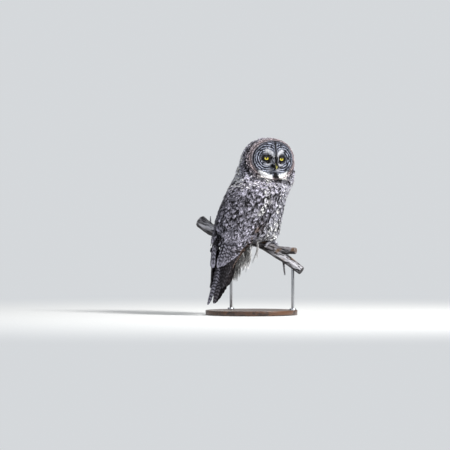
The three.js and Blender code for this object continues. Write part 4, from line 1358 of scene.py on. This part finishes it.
def disc_marks(y, z):
    """Ground colours and ring strength over the face, by place square to it."""
    aside = np.abs(y)
    q = disc_share(y, z)
    from_eye = np.hypot(aside - EYE_Y, z - EYE_Z)
    # pale crescents between the eyes, and black before and round each eye
    arc = np.hypot((aside - 31) / 20, (z - 1) / 25)
    inner_side = ease((42 - aside) / 12)
    crescent = np.minimum(1, 1.25 * bump(arc - 1.08, 0.33)) * inner_side * ease((z + 28) / 10)
    black_eye = ease((1.2 - np.hypot((aside - 30) / 20, (z - 2) / 14)) / 0.34)
    corner = ease((1.2 - np.hypot((aside - 24) / 9, (z + 9) / 9)) / 0.4)
    # the dark line up the forehead, dark bristles over the bill with pale lores below, and the disc's rim
    midline = np.minimum(1, 1.3 * bump(y, 4.6 + 4 * ease((z - 46) / 12)))
    midline = midline * ease((z + 30) / 14) * ease((76 - z) / 20)
    bristles = np.minimum(1, 1.3 * bump(aside - 9, 7.5) * bump(z + 27, 6))
    lores = bump(aside - 15, 9) * bump(z + 40, 6)
    rim = np.minimum(1, 1.4 * bump(q - 0.965, 0.036))
    beyond = ease((q - 1.0) / 0.03)
    layers = (
        # weight, ground colour and strength of the rings, each laid over those before it
        (beyond, mix(RUSSET, PEARL, 0.45), 0.8),
        (rim, paint(16, 12, 12), 0.0),
        (crescent, paint(214, 215, 221), 0.0),
        (lores, paint(190, 190, 196), 0.2),
        (moustache_at(y, z), paint(250, 250, 250), 0.0),
        (np.maximum(black_eye, corner), paint(6, 6, 8), 0.0),
        (midline, paint(15, 14, 18), 0.0),
        (bristles, paint(18, 17, 20), 0.0),
        (bib_at(y, z), paint(10, 9, 11), 0.0),
    )
    ground = np.tile(DISC_LIGHT, (len(y), 1)) * mix(0.8, 1.0, ease((from_eye - 20) / 40))[:, None]
    rings = np.full(len(y), 0.98)
    for weight, colour, ring in layers:
        weight = np.clip(weight, 0, 1)
        ground = mix(ground, colour, weight[:, None])
        rings = mix(rings, ring, weight)
    return ground, rings


def on_face(places):
    """Where disc feathers grow: within the rim and clear of the eyes' openings."""
    head = head_place(local_of(places))
    rise = head[:, 2] - EYE_Z
    aside = (np.abs(head[:, 1]) - EYE_Y) / OPEN_HALF
    clear = np.hypot(aside, rise / np.where(rise > 0, OPEN_UP, OPEN_DOWN)) > 1.05
    return (disc_share(head[:, 1], head[:, 2]) < 1.03) & (head[:, 0] > 14) & clear


FACE_SPACING = 1.5
disc_plumage = disc_material()
face_roots = scatter(body_surface, 160000, lambda p: np.full(len(p), FACE_SPACING), on_face)
face_head = head_place(local_of(face_roots))
face_y, face_z = face_head[:, 1], face_head[:, 2]
from_eye = np.stack((0 * face_y, face_y - np.sign(face_y) * EYE_Y, face_z - EYE_Z), -1)
face_size = np.clip(4 + 0.14 * np.linalg.norm(from_eye, axis=1), 5, 12) * RNG.uniform(0.8, 1.2, len(face_y))


def over_lid(away):
    """How far the lids stand out of the face, by distance from the eye."""
    return np.sqrt(np.clip(LID_R**2 - away**2, EYE_SUNK**2, None)) - EYE_SUNK


FACE_STEPS = (4, 2)
face_away = np.linalg.norm(from_eye, axis=1)
upper, under = lay_feathers(
    body_surface,
    face_roots,
    from_eye @ head_axes.T,
    face_size,
    face_size * 0.26,
    (
        over_lid(face_away) - mix(0.1, 1.2, ease((face_away - 10) / 4)),
        over_lid(face_away + face_size) + RNG.uniform(0.1, 0.9, len(face_roots)),
    ),
    *FACE_STEPS,
)
face_coat = joined_vanes("plumage_face", upper, under)
# marks are drawn by the place of each point, shifted a little from feather to feather
face_spots = head_place(local_of(places_of(face_coat))).reshape(len(face_roots), -1, 3)[:, :, 1:]
face_spots = (face_spots + RNG.normal(0, 0.9, (len(face_roots), 1, 2))).reshape(-1, 2)
face_ground, face_rings = disc_marks(face_spots[:, 0], face_spots[:, 1])
shade = np.repeat(RNG.normal(1, 0.13, len(face_roots)).clip(0.6, 1.4), len(face_spots) // len(face_roots))
ground = np.ones((len(face_spots), 4))
ground[:, :3] = face_ground * shade[:, None]
marks = np.ones((len(face_spots), 4))
marks[:, 0] = face_rings
FACE_SPAN = 175


def face_unwrap(roots):
    return 0.5 + head_place(local_of(roots))[:, 1:] / FACE_SPAN


dress(face_coat, face_roots, *FACE_STEPS, ground, marks, disc_plumage, face_unwrap)

# Loose plumes
# Long soft feathers of the thighs and vent hang free below the belly in flat, wavy, tapering locks, pale
# grey with faint bars. The longest hang behind, in front of the tail.
plume_at = stations(
    # share of the way back: x, distance from the middle, root height and tip height
    (0, -52, 50, 46, -34),
    (0.3, -78, 40, 30, -86),
    (0.55, -100, 31, 16, -78),
    (0.8, -124, 22, 0, -116),
    (1, -140, 12, -14, -100),
)
PLUMES = 110
LONGEST_PLUMES = 8
BARBS = 28
loose_plumage = plumage_material("loose_plumage", roughness=0.8, bare=0.1)


def loose_plumes():
    """Each plume is a lock of long loose barbs that start along one wavy shaft."""
    v, u = vane_shares(8, 2)
    tops, unders, grounds, marks = [], [], [], []
    for k in range(PLUMES):
        side = 1 if k % 2 else -1
        share = RNG.uniform(0, 1)
        longest = k < LONGEST_PLUMES
        if longest:
            share = mix(0.74, 0.86, share)
        x, y, top, tip = plume_at(share)
        depth = RNG.uniform(0, 1)
        x += RNG.normal(0, 6)
        y = y * (1 - 0.8 * depth**1.5) + RNG.normal(0, 3)
        top += 16
        tip = mix(top, tip, 1 if longest else RNG.uniform(0.62, 1.03))
        lean = np.array((RNG.normal(-9, 8), side * RNG.normal(0, 7), 0))
        wave, light = RNG.uniform(0, 6.3), RNG.normal(1, 0.14)
        face = math.radians(side * mix(-62, -12, share)) + RNG.normal(0, 0.5)
        aside = np.array((math.sin(face), math.cos(face), 0))
        out = np.array((math.cos(face), -math.sin(face), 0))
        for _ in range(BARBS):
            start = RNG.uniform(0, 0.65)
            stop = min(1.04, start + RNG.uniform(0.35, 0.6))
            s = mix(start, stop, v)
            spine = np.array((x, side * y, 0)) + lean * (s**2)[..., None]
            spine[..., 2] += mix(top, tip, s)
            spine += out * (3.5 * np.sin(wave + 7 * s) * s)[..., None]
            spine += aside * (4.0 * np.sin(wave * 2 + 10 * s + 0.6 * start) * s)[..., None]
            spread = RNG.normal(0, 7.5) * np.sin(math.pi / 2 * v) * mix(1, 0.4, s)
            spine += aside * spread[..., None] + out * (RNG.normal(0, 2.0) * v)[..., None]
            half = RNG.uniform(0.8, 1.9) * mix(1, 0.3, v**1.5)
            place = spine + aside * (u * half)[..., None] - out * (0.3 * u * u)[..., None]
            tops.append(metres(place))
            unders.append(metres(place - out * mix(*SOFT_THICK, v)[..., None]))
            grounds.append((*np.clip(SNOW * light * RNG.uniform(0.45, 1) ** 1.5, 0.02, 0.95), 0.9))
            marks.append((0.0, mix(0.25, 0.4, RNG.uniform()), 0.8, 0))
    coat = coat_of("plumes_vent", tops, unders, grounds, marks, loose_plumage, wing_unwrap)


loose_plumes()

# Feet
# Feathered toes that grip the branch, covered to the claws in short pale tufts. Two toes of an owl's foot
# go forward and one to the side, and the hind toe holds from behind.
TUFT_DEPTH = 0.0012
TUFT_SPACING = 2.3
TOE_STEPS = (3, 2)
toe_copies = [loose_copy("foot_left", "toes_left"), loose_copy("foot_right", "toes_right")]
toe_forms = melt(toe_copies, "toes", cell=0.0015, rounds=5)
toe_surface = Surface(toe_forms)
put_places(toe_forms, places_of(toe_forms) - TUFT_DEPTH * normals_of(toe_forms))
toe_forms.data.materials.append(skin_paint)
add_colours(toe_forms.data, "Ground", np.tile((*(FROST * 0.6), 1), (len(toe_forms.data.vertices), 1)))
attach(toe_forms, "root")
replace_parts(toe_forms, "foot_left", "foot_right")

toe_roots = scatter(
    toe_surface, 14000, lambda p: np.full(len(p), TUFT_SPACING), lambda p: np.full(len(p), True)
)
ankles = {}
for side, name in ((1, "leg_left"), (-1, "leg_right")):
    low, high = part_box(name)
    ankles[side] = np.array(((low[0] + high[0]) / 2 + 0.012, (low[1] + high[1]) / 2, low[2] + 0.012))
nearest_ankle = np.where((toe_roots[:, 1] > 0)[:, None], ankles[1], ankles[-1])
toe_flow = unit(toe_roots - nearest_ankle) + np.array((0, 0, -0.5))
toe_size = RNG.uniform(5, 8, len(toe_roots))
toe_lifts = (-0.8, RNG.uniform(0.1, 0.9, len(toe_roots)))
upper, under = lay_feathers(
    toe_surface, toe_roots, toe_flow, toe_size, toe_size * 0.36, toe_lifts, *TOE_STEPS
)
toe_coat = joined_vanes("plumage_toes", upper, under)
ground = np.ones((len(toe_roots), 4))
ground[:, :3] = FROST * RNG.normal(0.85, 0.14, (len(toe_roots), 1)).clip(0.4, 1.15)
marks = np.zeros((len(toe_roots), 4))
marks[:, 1:3] = 0.15, 0.4
dress(toe_coat, toe_roots, *TOE_STEPS, ground, marks, body_plumage, unwrap_round((0, 0), -60, 60))


def horn_material(name, low, high, roughness):
    """Smooth horn with fine growth streaks, from a darker to a lighter tone."""
    material, make, shader = new_material(name, roughness)
    streaks = make.noise(make.own_place(), scale=420.0, detail=4.0)
    share = make.step(streaks, 0.35, 0.65)
    make.feed(shader.inputs["Base Color"], make.blend(share, (*low, 1), (*high, 1)))
    make.feed(shader.inputs["Roughness"], make.times_plus(share, 0.12, roughness))
    make.relief(shader, strength=0.2, distance=0.0003, height=streaks)
    shader.inputs["Coat Weight"].default_value = 0.35
    shader.inputs["Coat Roughness"].default_value = 0.2
    return material


claw_horn = horn_material("claw_horn", paint(16, 14, 14), paint(44, 38, 36), 0.28)
for side in ("left", "right"):
    for toe in ("inner", "middle", "outer", "hind"):
        node = f"claw_{side}_{toe}"
        claw = loose_copy(node, "horn_" + node)
        work(claw, "SUBSURF", levels=2, render_levels=2)
        bpy.ops.object.shade_smooth()
        claw.data.materials.append(claw_horn)
        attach(claw, "root")
        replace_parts(claw, node)

# Eyes
# Small bright yellow eyes set forward in the disc: a wet clear cornea over an iris of fine radial fibres,
# a round black pupil, and dark bare lids that hood the eye from above.
EYE_R = 12
# radius of the plain ring that is shaped into the lids; only its proportions count
RING_R = 2
EYE_TOE_OUT = math.radians(9)
LID_DIP = 5
# where the iris's tones change, as shares of the way round the ball from its front
PUPIL_EDGE, RIM_EDGE, IRIS_EDGE = (0.09, 0.08), (0.205, 0.225), (0.225, 0.235)


def eye_matrix(side, dip):
    """Places a ball whose north pole looks out of the eye, dipped by some degrees."""
    place = Matrix.Translation((EYE_DEEP, side * EYE_Y, EYE_Z))
    outward = Matrix.Rotation(side * EYE_TOE_OUT, 4, "Z") @ Matrix.Rotation(math.radians(90 + dip), 4, "Y")
    return np.array(head_pose @ place @ outward)


def through(matrix, points):
    return points @ matrix[:3, :3].T + matrix[:3, 3]


def iris_material():
    """Yellow fibres that run out from a black pupil to a dark rim, under a wet cornea."""
    material, make, shader = new_material("iris_and_cornea", roughness=0.3)
    gaze = make.add("SeparateXYZ", Vector=make.add("UVMap", dict(uv_map="Gaze")).outputs["UV"])
    away = gaze.outputs["X"]
    turn = make.times(gaze.outputs["Y"], 2 * math.pi)
    fibre_place = make.add(
        "CombineXYZ",
        X=make.times(make.math("SINE", turn), 9.0),
        Y=make.times(make.math("COSINE", turn), 9.0),
        Z=make.times(away, 6.0),
    )
    fibres = make.noise(fibre_place.outputs["Vector"], scale=2.2, detail=4.0)
    tone = make.blend(make.step(fibres, 0.35, 0.65), (*paint(222, 196, 24), 1), (*paint(255, 246, 70), 1))
    tone = make.blend(make.step(away, *RIM_EDGE), tone, (*paint(92, 76, 14), 1))
    tone = make.blend(make.step(away, *PUPIL_EDGE), tone, (*paint(3, 3, 4), 1))
    tone = make.blend(make.step(away, *IRIS_EDGE), tone, (*paint(20, 17, 16), 1))
    make.feed(shader.inputs["Base Color"], tone)
    shader.inputs["Coat Weight"].default_value = 1.0
    shader.inputs["Coat Roughness"].default_value = 0.02
    return material


def on_ball(radius, angle, turn):
    """Places on a ball by the angle from its north pole and the turn round it."""
    level = radius * np.sin(angle)
    return np.stack((level * np.cos(turn), level * np.sin(turn), radius * np.cos(angle)), -1)


def eye_form(share, turn):
    """A ball with a low bulge of cornea in front."""
    angle = share * math.pi
    return on_ball(EYE_R * (1 + 0.05 * bump(angle, 0.5)), angle, turn)


def lid_ring(places):
    """A plain ring shaped into lids: a lower edge of the opening from above, and a wide base in the face."""
    turn = np.arctan2(places[:, 1], places[:, 0])
    minor = np.arctan2(places[:, 2], np.hypot(places[:, 0], places[:, 1]) - RING_R)
    up = -np.cos(turn)
    opening = np.radians(32.5 - 19 * np.clip(up, 0, 1) ** 2 - 9 * np.clip(-up, 0, 1) ** 2)
    angle = mix(opening, math.radians(100), 0.5 - 0.5 * np.sin(minor))
    return on_ball(EYE_R + 1.2 + 0.7 * np.cos(minor), angle, turn)


def face_outwards():
    """Turns all faces of the active piece outwards."""
    bpy.ops.object.mode_set(mode="EDIT")
    bpy.ops.mesh.select_all(action="SELECT")
    bpy.ops.mesh.normals_make_consistent(inside=False)
    bpy.ops.object.mode_set(mode="OBJECT")


iris_glass = iris_material()
lid_skin = horn_material("lid_skin", paint(8, 7, 8), paint(20, 18, 18), 0.6)
lid_skin.node_tree.nodes["Principled BSDF"].inputs["Coat Weight"].default_value = 0
for side, name in ((1, "left"), (-1, "right")):
    matrix = eye_matrix(side, 0)
    eye = moulded_ball("eyeball_" + name, lambda share, turn: through(matrix, eye_form(share, turn)), 48, 36)
    places = local_of(places_of(eye))
    facing = (places - matrix[:3, 3]) @ matrix[:3, :3]
    away = np.arccos(np.clip(facing[:, 2] / np.linalg.norm(facing, axis=1), -1, 1)) / math.pi
    around = np.arctan2(facing[:, 1], facing[:, 0]) / (2 * math.pi) + 0.5
    add_map(eye.data, "Gaze", np.stack((away, around), -1))
    eye.data.materials.append(iris_glass)
    bpy.ops.object.shade_smooth()
    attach(eye, "root")
    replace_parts(eye, "eye_" + name)

    bpy.ops.object.select_all(action="DESELECT")
    bpy.ops.mesh.primitive_torus_add(
        major_segments=56, minor_segments=16, major_radius=RING_R, minor_radius=RING_R / 2
    )
    lids = bpy.context.object
    lids.name = "lids_" + name
    put_places(lids, metres(through(eye_matrix(side, LID_DIP), lid_ring(places_of(lids)))))
    face_outwards()
    bpy.ops.object.shade_smooth()
    lids.data.materials.append(lid_skin)
    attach(lids, "root")
    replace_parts(lids, "eyelid_" + name)

# Bill
# A short hooked yellow bill, mostly sunk in the bristles of the face, with a nostril dented into each side
# of the upper horn and a smaller lower half that closes inside it.
# by share of the way to the tip: how far out of the face, height, half width and half depth
upper_bill_at = stations(
    (0, 40, -6, 6.2, 7),
    (0.25, 57, -9, 6, 6.8),
    (0.5, 66, -17, 5, 5.6),
    (0.75, 69, -28, 3.5, 3.6),
    (1, 65, -38, 0.7, 0.9),
)
lower_bill_at = stations(
    (0, 40, -20, 4.6, 3.4),
    (0.33, 52, -23, 4.2, 3),
    (0.67, 60, -28, 3, 2.4),
    (1, 63, -32, 1, 1),
)
NOSTRIL = (63, 6.6, -9)
NOSTRIL_R, NOSTRIL_DEEP = 1.7, 2.2
BILL_END = 0.04


def bill_form(at, nostrils):
    """A horn swept along its curved middle line, keeled on top, with a nostril on either side."""

    def form(share, turn):
        run = np.clip((share - BILL_END) / (1 - 2 * BILL_END), 0, 1)
        x, z, half, deep = at(run)
        next_x, next_z, _, _ = at(run + 0.01)
        last_x, last_z, _, _ = at(run - 0.01)
        tilt = np.arctan2(next_z - last_z, next_x - last_x)
        closing = np.sqrt(np.clip(np.minimum(share, 1 - share) / BILL_END, 0, 1))
        keel = 1 + 0.12 * np.clip(np.cos(turn), 0, 1) ** 6
        up = deep * closing * np.cos(turn) * keel
        places = np.stack((x - up * np.sin(tilt), half * closing * np.sin(turn), z + up * np.cos(tilt)), -1)
        for side in (1, -1) if nostrils else ():
            away = np.linalg.norm(places - np.array(NOSTRIL) * (1, side, 1), axis=1)
            places[:, 1] -= side * NOSTRIL_DEEP * bump(away, NOSTRIL_R)
        return in_head(places)

    return form


bill_horn = horn_material("bill_horn", paint(196, 186, 84), paint(228, 222, 130), 0.35)
for node, at, nostrils in (("bill_upper", upper_bill_at, True), ("bill_lower", lower_bill_at, False)):
    horn = moulded_ball("horn_" + node, bill_form(at, nostrils), 48, 64)
    bpy.ops.object.shade_smooth()
    face_outwards()
    horn.data.materials.append(bill_horn)
    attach(horn, "root")
    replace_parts(horn, node)


BRISTLES = 700
BRISTLE_THICK = 0.35
BRISTLE_DARK, BRISTLE_PALE = paint(16, 15, 18), paint(150, 151, 160)


def bill_bristles():
    """Fine bristly feathers that sweep forward from the face over the bill's base."""
    v, u = vane_shares(6, 2)
    tops, unders, grounds = [], [], []
    for k in range(BRISTLES):
        side = 1 if k % 2 else -1
        drop = RNG.uniform(0, 1)
        over_ridge = k % 5 < 2
        root_y, root_z = RNG.uniform(0 if over_ridge else 3, 14), mix(6, -30, drop) + RNG.normal(0, 2)
        tip = np.array((mix(66, 71, drop) + RNG.normal(0, 1.5), RNG.uniform(1.5, 6.5), mix(-16, -36, drop)))
        if over_ridge:
            root_y, root_z = RNG.uniform(0, 7), RNG.uniform(-8, 10)
            tip = np.array((RNG.uniform(72.5, 75), RNG.uniform(-1, 3.5), RNG.uniform(-25, -14)))
        root_x = float(face_x(np.array(root_y), np.array(root_z))) - 1.5
        tip[2] += RNG.normal(0, 2)
        root = np.array((root_x, root_y, root_z))
        knee = mix(root, tip, 0.5) + np.array((5.5, 0.5 if over_ridge else 2.5, 4))
        w = v[..., None]
        spine = root * (1 - w) ** 2 + 2 * knee * w * (1 - w) + tip * w**2
        aside = unit(np.cross(unit(tip - root), np.array((1.0, 0.6, 0.2))))
        out = unit(np.cross(aside, unit(tip - root)))
        half = (0.9 if over_ridge else 0.7) * mix(1, 0.2, v**1.5)
        blade = spine + aside * (u * half)[..., None]
        top = blade * np.array((1, side, 1))
        below = (blade - BRISTLE_THICK * out) * np.array((1, side, 1))
        if side < 0:
            top, below = top[:, ::-1], below[:, ::-1]
        tops.append(metres(in_head(top)))
        unders.append(metres(in_head(below)))
        dark = RNG.uniform() < (0.8 if over_ridge else mix(0.3, 0.95, drop))
        grounds.append((*(BRISTLE_DARK if dark else BRISTLE_PALE), 1))
    marks = np.zeros((BRISTLES, 4))
    coat = coat_of("bristles_bill", tops, unders, grounds, marks, disc_plumage, face_unwrap)


bill_bristles()

# Branch
# A cut length of dead, barkless wood, silvered by weather, with long shallow grooves, brown knots, a fork
# and two broken twigs, its underside painted darker as shade. Its ends are sawn flat.
BRANCH_HEADING = np.array((-0.375, 0.927, 0.0))
GROOVE_DEPTH = 0.00035
branch = melt([loose_copy("perch_branch", "branch_form")], "branch", cell=0.0022, rounds=2)
branch_places = places_of(branch)
branch_normals = normals_of(branch)
run = local_of(branch_places) @ BRANCH_HEADING
round_turn = np.arctan2(branch_normals[:, 2], branch_normals @ np.cross(BRANCH_HEADING, (0, 0, 1)))
grooves = (
    np.sin(9 * round_turn + 0.03 * run)
    + 0.7 * np.sin(17 * round_turn - 0.05 * run + 2 * np.sin(run * 0.02))
    + 0.5 * np.sin(5 * round_turn + 0.11 * run)
)
put_places(branch, branch_places + branch_normals * (GROOVE_DEPTH * grooves)[:, None])


def wood_grain():
    """Long dark cracks over broad lighter and darker streaks."""
    group, make, given, result = node_group(
        "wood_grain",
        dict(Place="Vector", Light="Color", Mid="Color", Dark="Color", Fine="Float"),
        dict(Color="Color", Height="Float"),
    )
    long_lines = make.noise(given["Place"], given["Fine"], detail=6.0, roughness=0.62)
    broad = make.noise(given["Place"], make.times(given["Fine"], 0.22), detail=3.0)
    tone = make.blend(make.step(broad, 0.4, 0.62), given["Mid"], given["Light"])
    crack = make.step(long_lines, 0.5, 0.42)
    make.feed(result["Color"], make.blend(crack, tone, given["Dark"]))
    make.feed(result["Height"], make.step(long_lines, 0.36, 0.6))
    return group


WOOD_GRAIN = wood_grain()


def grained(name, turn, stretch, tones, fine, roughness):
    """Wood whose grain runs along one axis of a turned and stretched place, and the grain's colour."""
    material, make, shader = new_material(name, roughness)
    turned = make.add(
        "Mapping", dict(vector_type="TEXTURE"), Vector=make.own_place(), Rotation=turn, Scale=stretch
    )
    light, mid, dark = ((*tone, 1) for tone in tones)
    grain = make.use(WOOD_GRAIN, Place=turned.outputs["Vector"], Light=light, Mid=mid, Dark=dark, Fine=fine)
    make.relief(shader, strength=0.6, distance=0.0012, height=grain["Height"])
    return material, make, shader, grain["Color"]


dead_wood, make, shader, grain_colour = grained(
    "dead_wood",
    turn=(0, math.radians(-16), math.radians(112)),
    stretch=(14, 1, 1),
    tones=(paint(190, 189, 195), paint(122, 119, 123), paint(20, 18, 19)),
    fine=210.0,
    roughness=0.85,
)
knots = make.step(make.noise(make.own_place(), scale=21.0, detail=3.0), 0.58, 0.68)
knotted = make.blend(knots, grain_colour, (*paint(98, 78, 62), 1))
# the underside is painted darker as shade, by the Underside attribute below
underside_painted_shade = make.blend(make.attribute("Underside", "Fac"), knotted, (*paint(34, 31, 33), 1))
make.feed(shader.inputs["Base Color"], underside_painted_shade)
# painted shade: darker where the wood faces down, with a wavy border
under_layer = branch.data.attributes.new("Underside", "FLOAT", "POINT")
underside = 0.85 * ease((-0.1 - branch_normals[:, 2] + 0.2 * np.sin(run / 9 + 3 * round_turn)) / 0.5)
under_layer.data.foreach_set("value", underside.astype(np.float32))
branch.data.materials.append(dead_wood)
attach(branch, "root")
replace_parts(branch, "perch_branch")

# Display stand
# A turned hardwood disc with softened edges and a satin finish, and two brushed steel rods that stand in it,
# each with a small collar at its foot, and hold the branch.
SOFT_ANGLE = math.radians(35)
ROD_R = 0.005
COLLAR_R = (0.013, 0.011)
COLLAR_HEIGHT = 0.006

low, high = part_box("stand_base")
bpy.ops.object.select_all(action="DESELECT")
bpy.ops.mesh.primitive_cylinder_add(
    vertices=160,
    radius=(high[0] - low[0]) / 2,
    depth=high[2] - low[2],
    location=((low[0] + high[0]) / 2, 0, (low[2] + high[2]) / 2),
)
base = bpy.context.object
base.name = "base_disc"
bpy.ops.object.transform_apply(location=True, rotation=True, scale=True)
work(base, "BEVEL", width=0.003, segments=4)
bpy.ops.object.shade_smooth_by_angle(angle=SOFT_ANGLE)
base_wood, make, shader, grain_colour = grained(
    "base_wood",
    turn=(0, 0, math.radians(8)),
    stretch=(9, 1, 1),
    tones=(paint(92, 62, 42), paint(70, 45, 30), paint(38, 24, 16)),
    fine=90.0,
    roughness=0.38,
)
make.feed(shader.inputs["Base Color"], grain_colour)
shader.inputs["Coat Weight"].default_value = 0.3
base.data.materials.append(base_wood)
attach(base, "root")
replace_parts(base, "stand_base")

steel, make, shader = new_material("brushed_steel", roughness=0.3)
lines = make.add("Mapping", Vector=make.own_place(), Scale=(1, 1, 0.06))
brushed = make.noise(lines.outputs["Vector"], scale=1800.0, detail=3.0)
steel_tone = make.blend(brushed, (*paint(150, 152, 156), 1), (*paint(190, 192, 196), 1))
make.feed(shader.inputs["Base Color"], steel_tone)
make.feed(shader.inputs["Roughness"], make.times_plus(brushed, 0.2, 0.24))
shader.inputs["Metallic"].default_value = 1.0
for name in ("left", "right"):
    low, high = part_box("stand_rod_" + name)
    x, y = (low[0] + high[0]) / 2, (low[1] + high[1]) / 2
    height = high[2] - low[2]
    bpy.ops.object.select_all(action="DESELECT")
    bpy.ops.mesh.primitive_cylinder_add(
        vertices=40, radius=ROD_R, depth=height, location=(x, y, low[2] + height / 2)
    )
    rod = bpy.context.object
    rod.name = "rod_" + name
    bpy.ops.mesh.primitive_cone_add(
        vertices=48,
        radius1=COLLAR_R[0],
        radius2=COLLAR_R[1],
        depth=COLLAR_HEIGHT,
        location=(x, y, low[2] + COLLAR_HEIGHT / 2),
    )
    rod.select_set(True)
    bpy.context.view_layer.objects.active = rod
    bpy.ops.object.join()
    bpy.ops.object.transform_apply(location=True, rotation=True, scale=True)
    work(rod, "BEVEL", width=0.0006, segments=3, limit_method="ANGLE")
    bpy.ops.object.shade_smooth_by_angle(angle=SOFT_ANGLE)
    rod.data.materials.append(steel)
    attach(rod, "root")
    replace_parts(rod, "stand_rod_" + name)
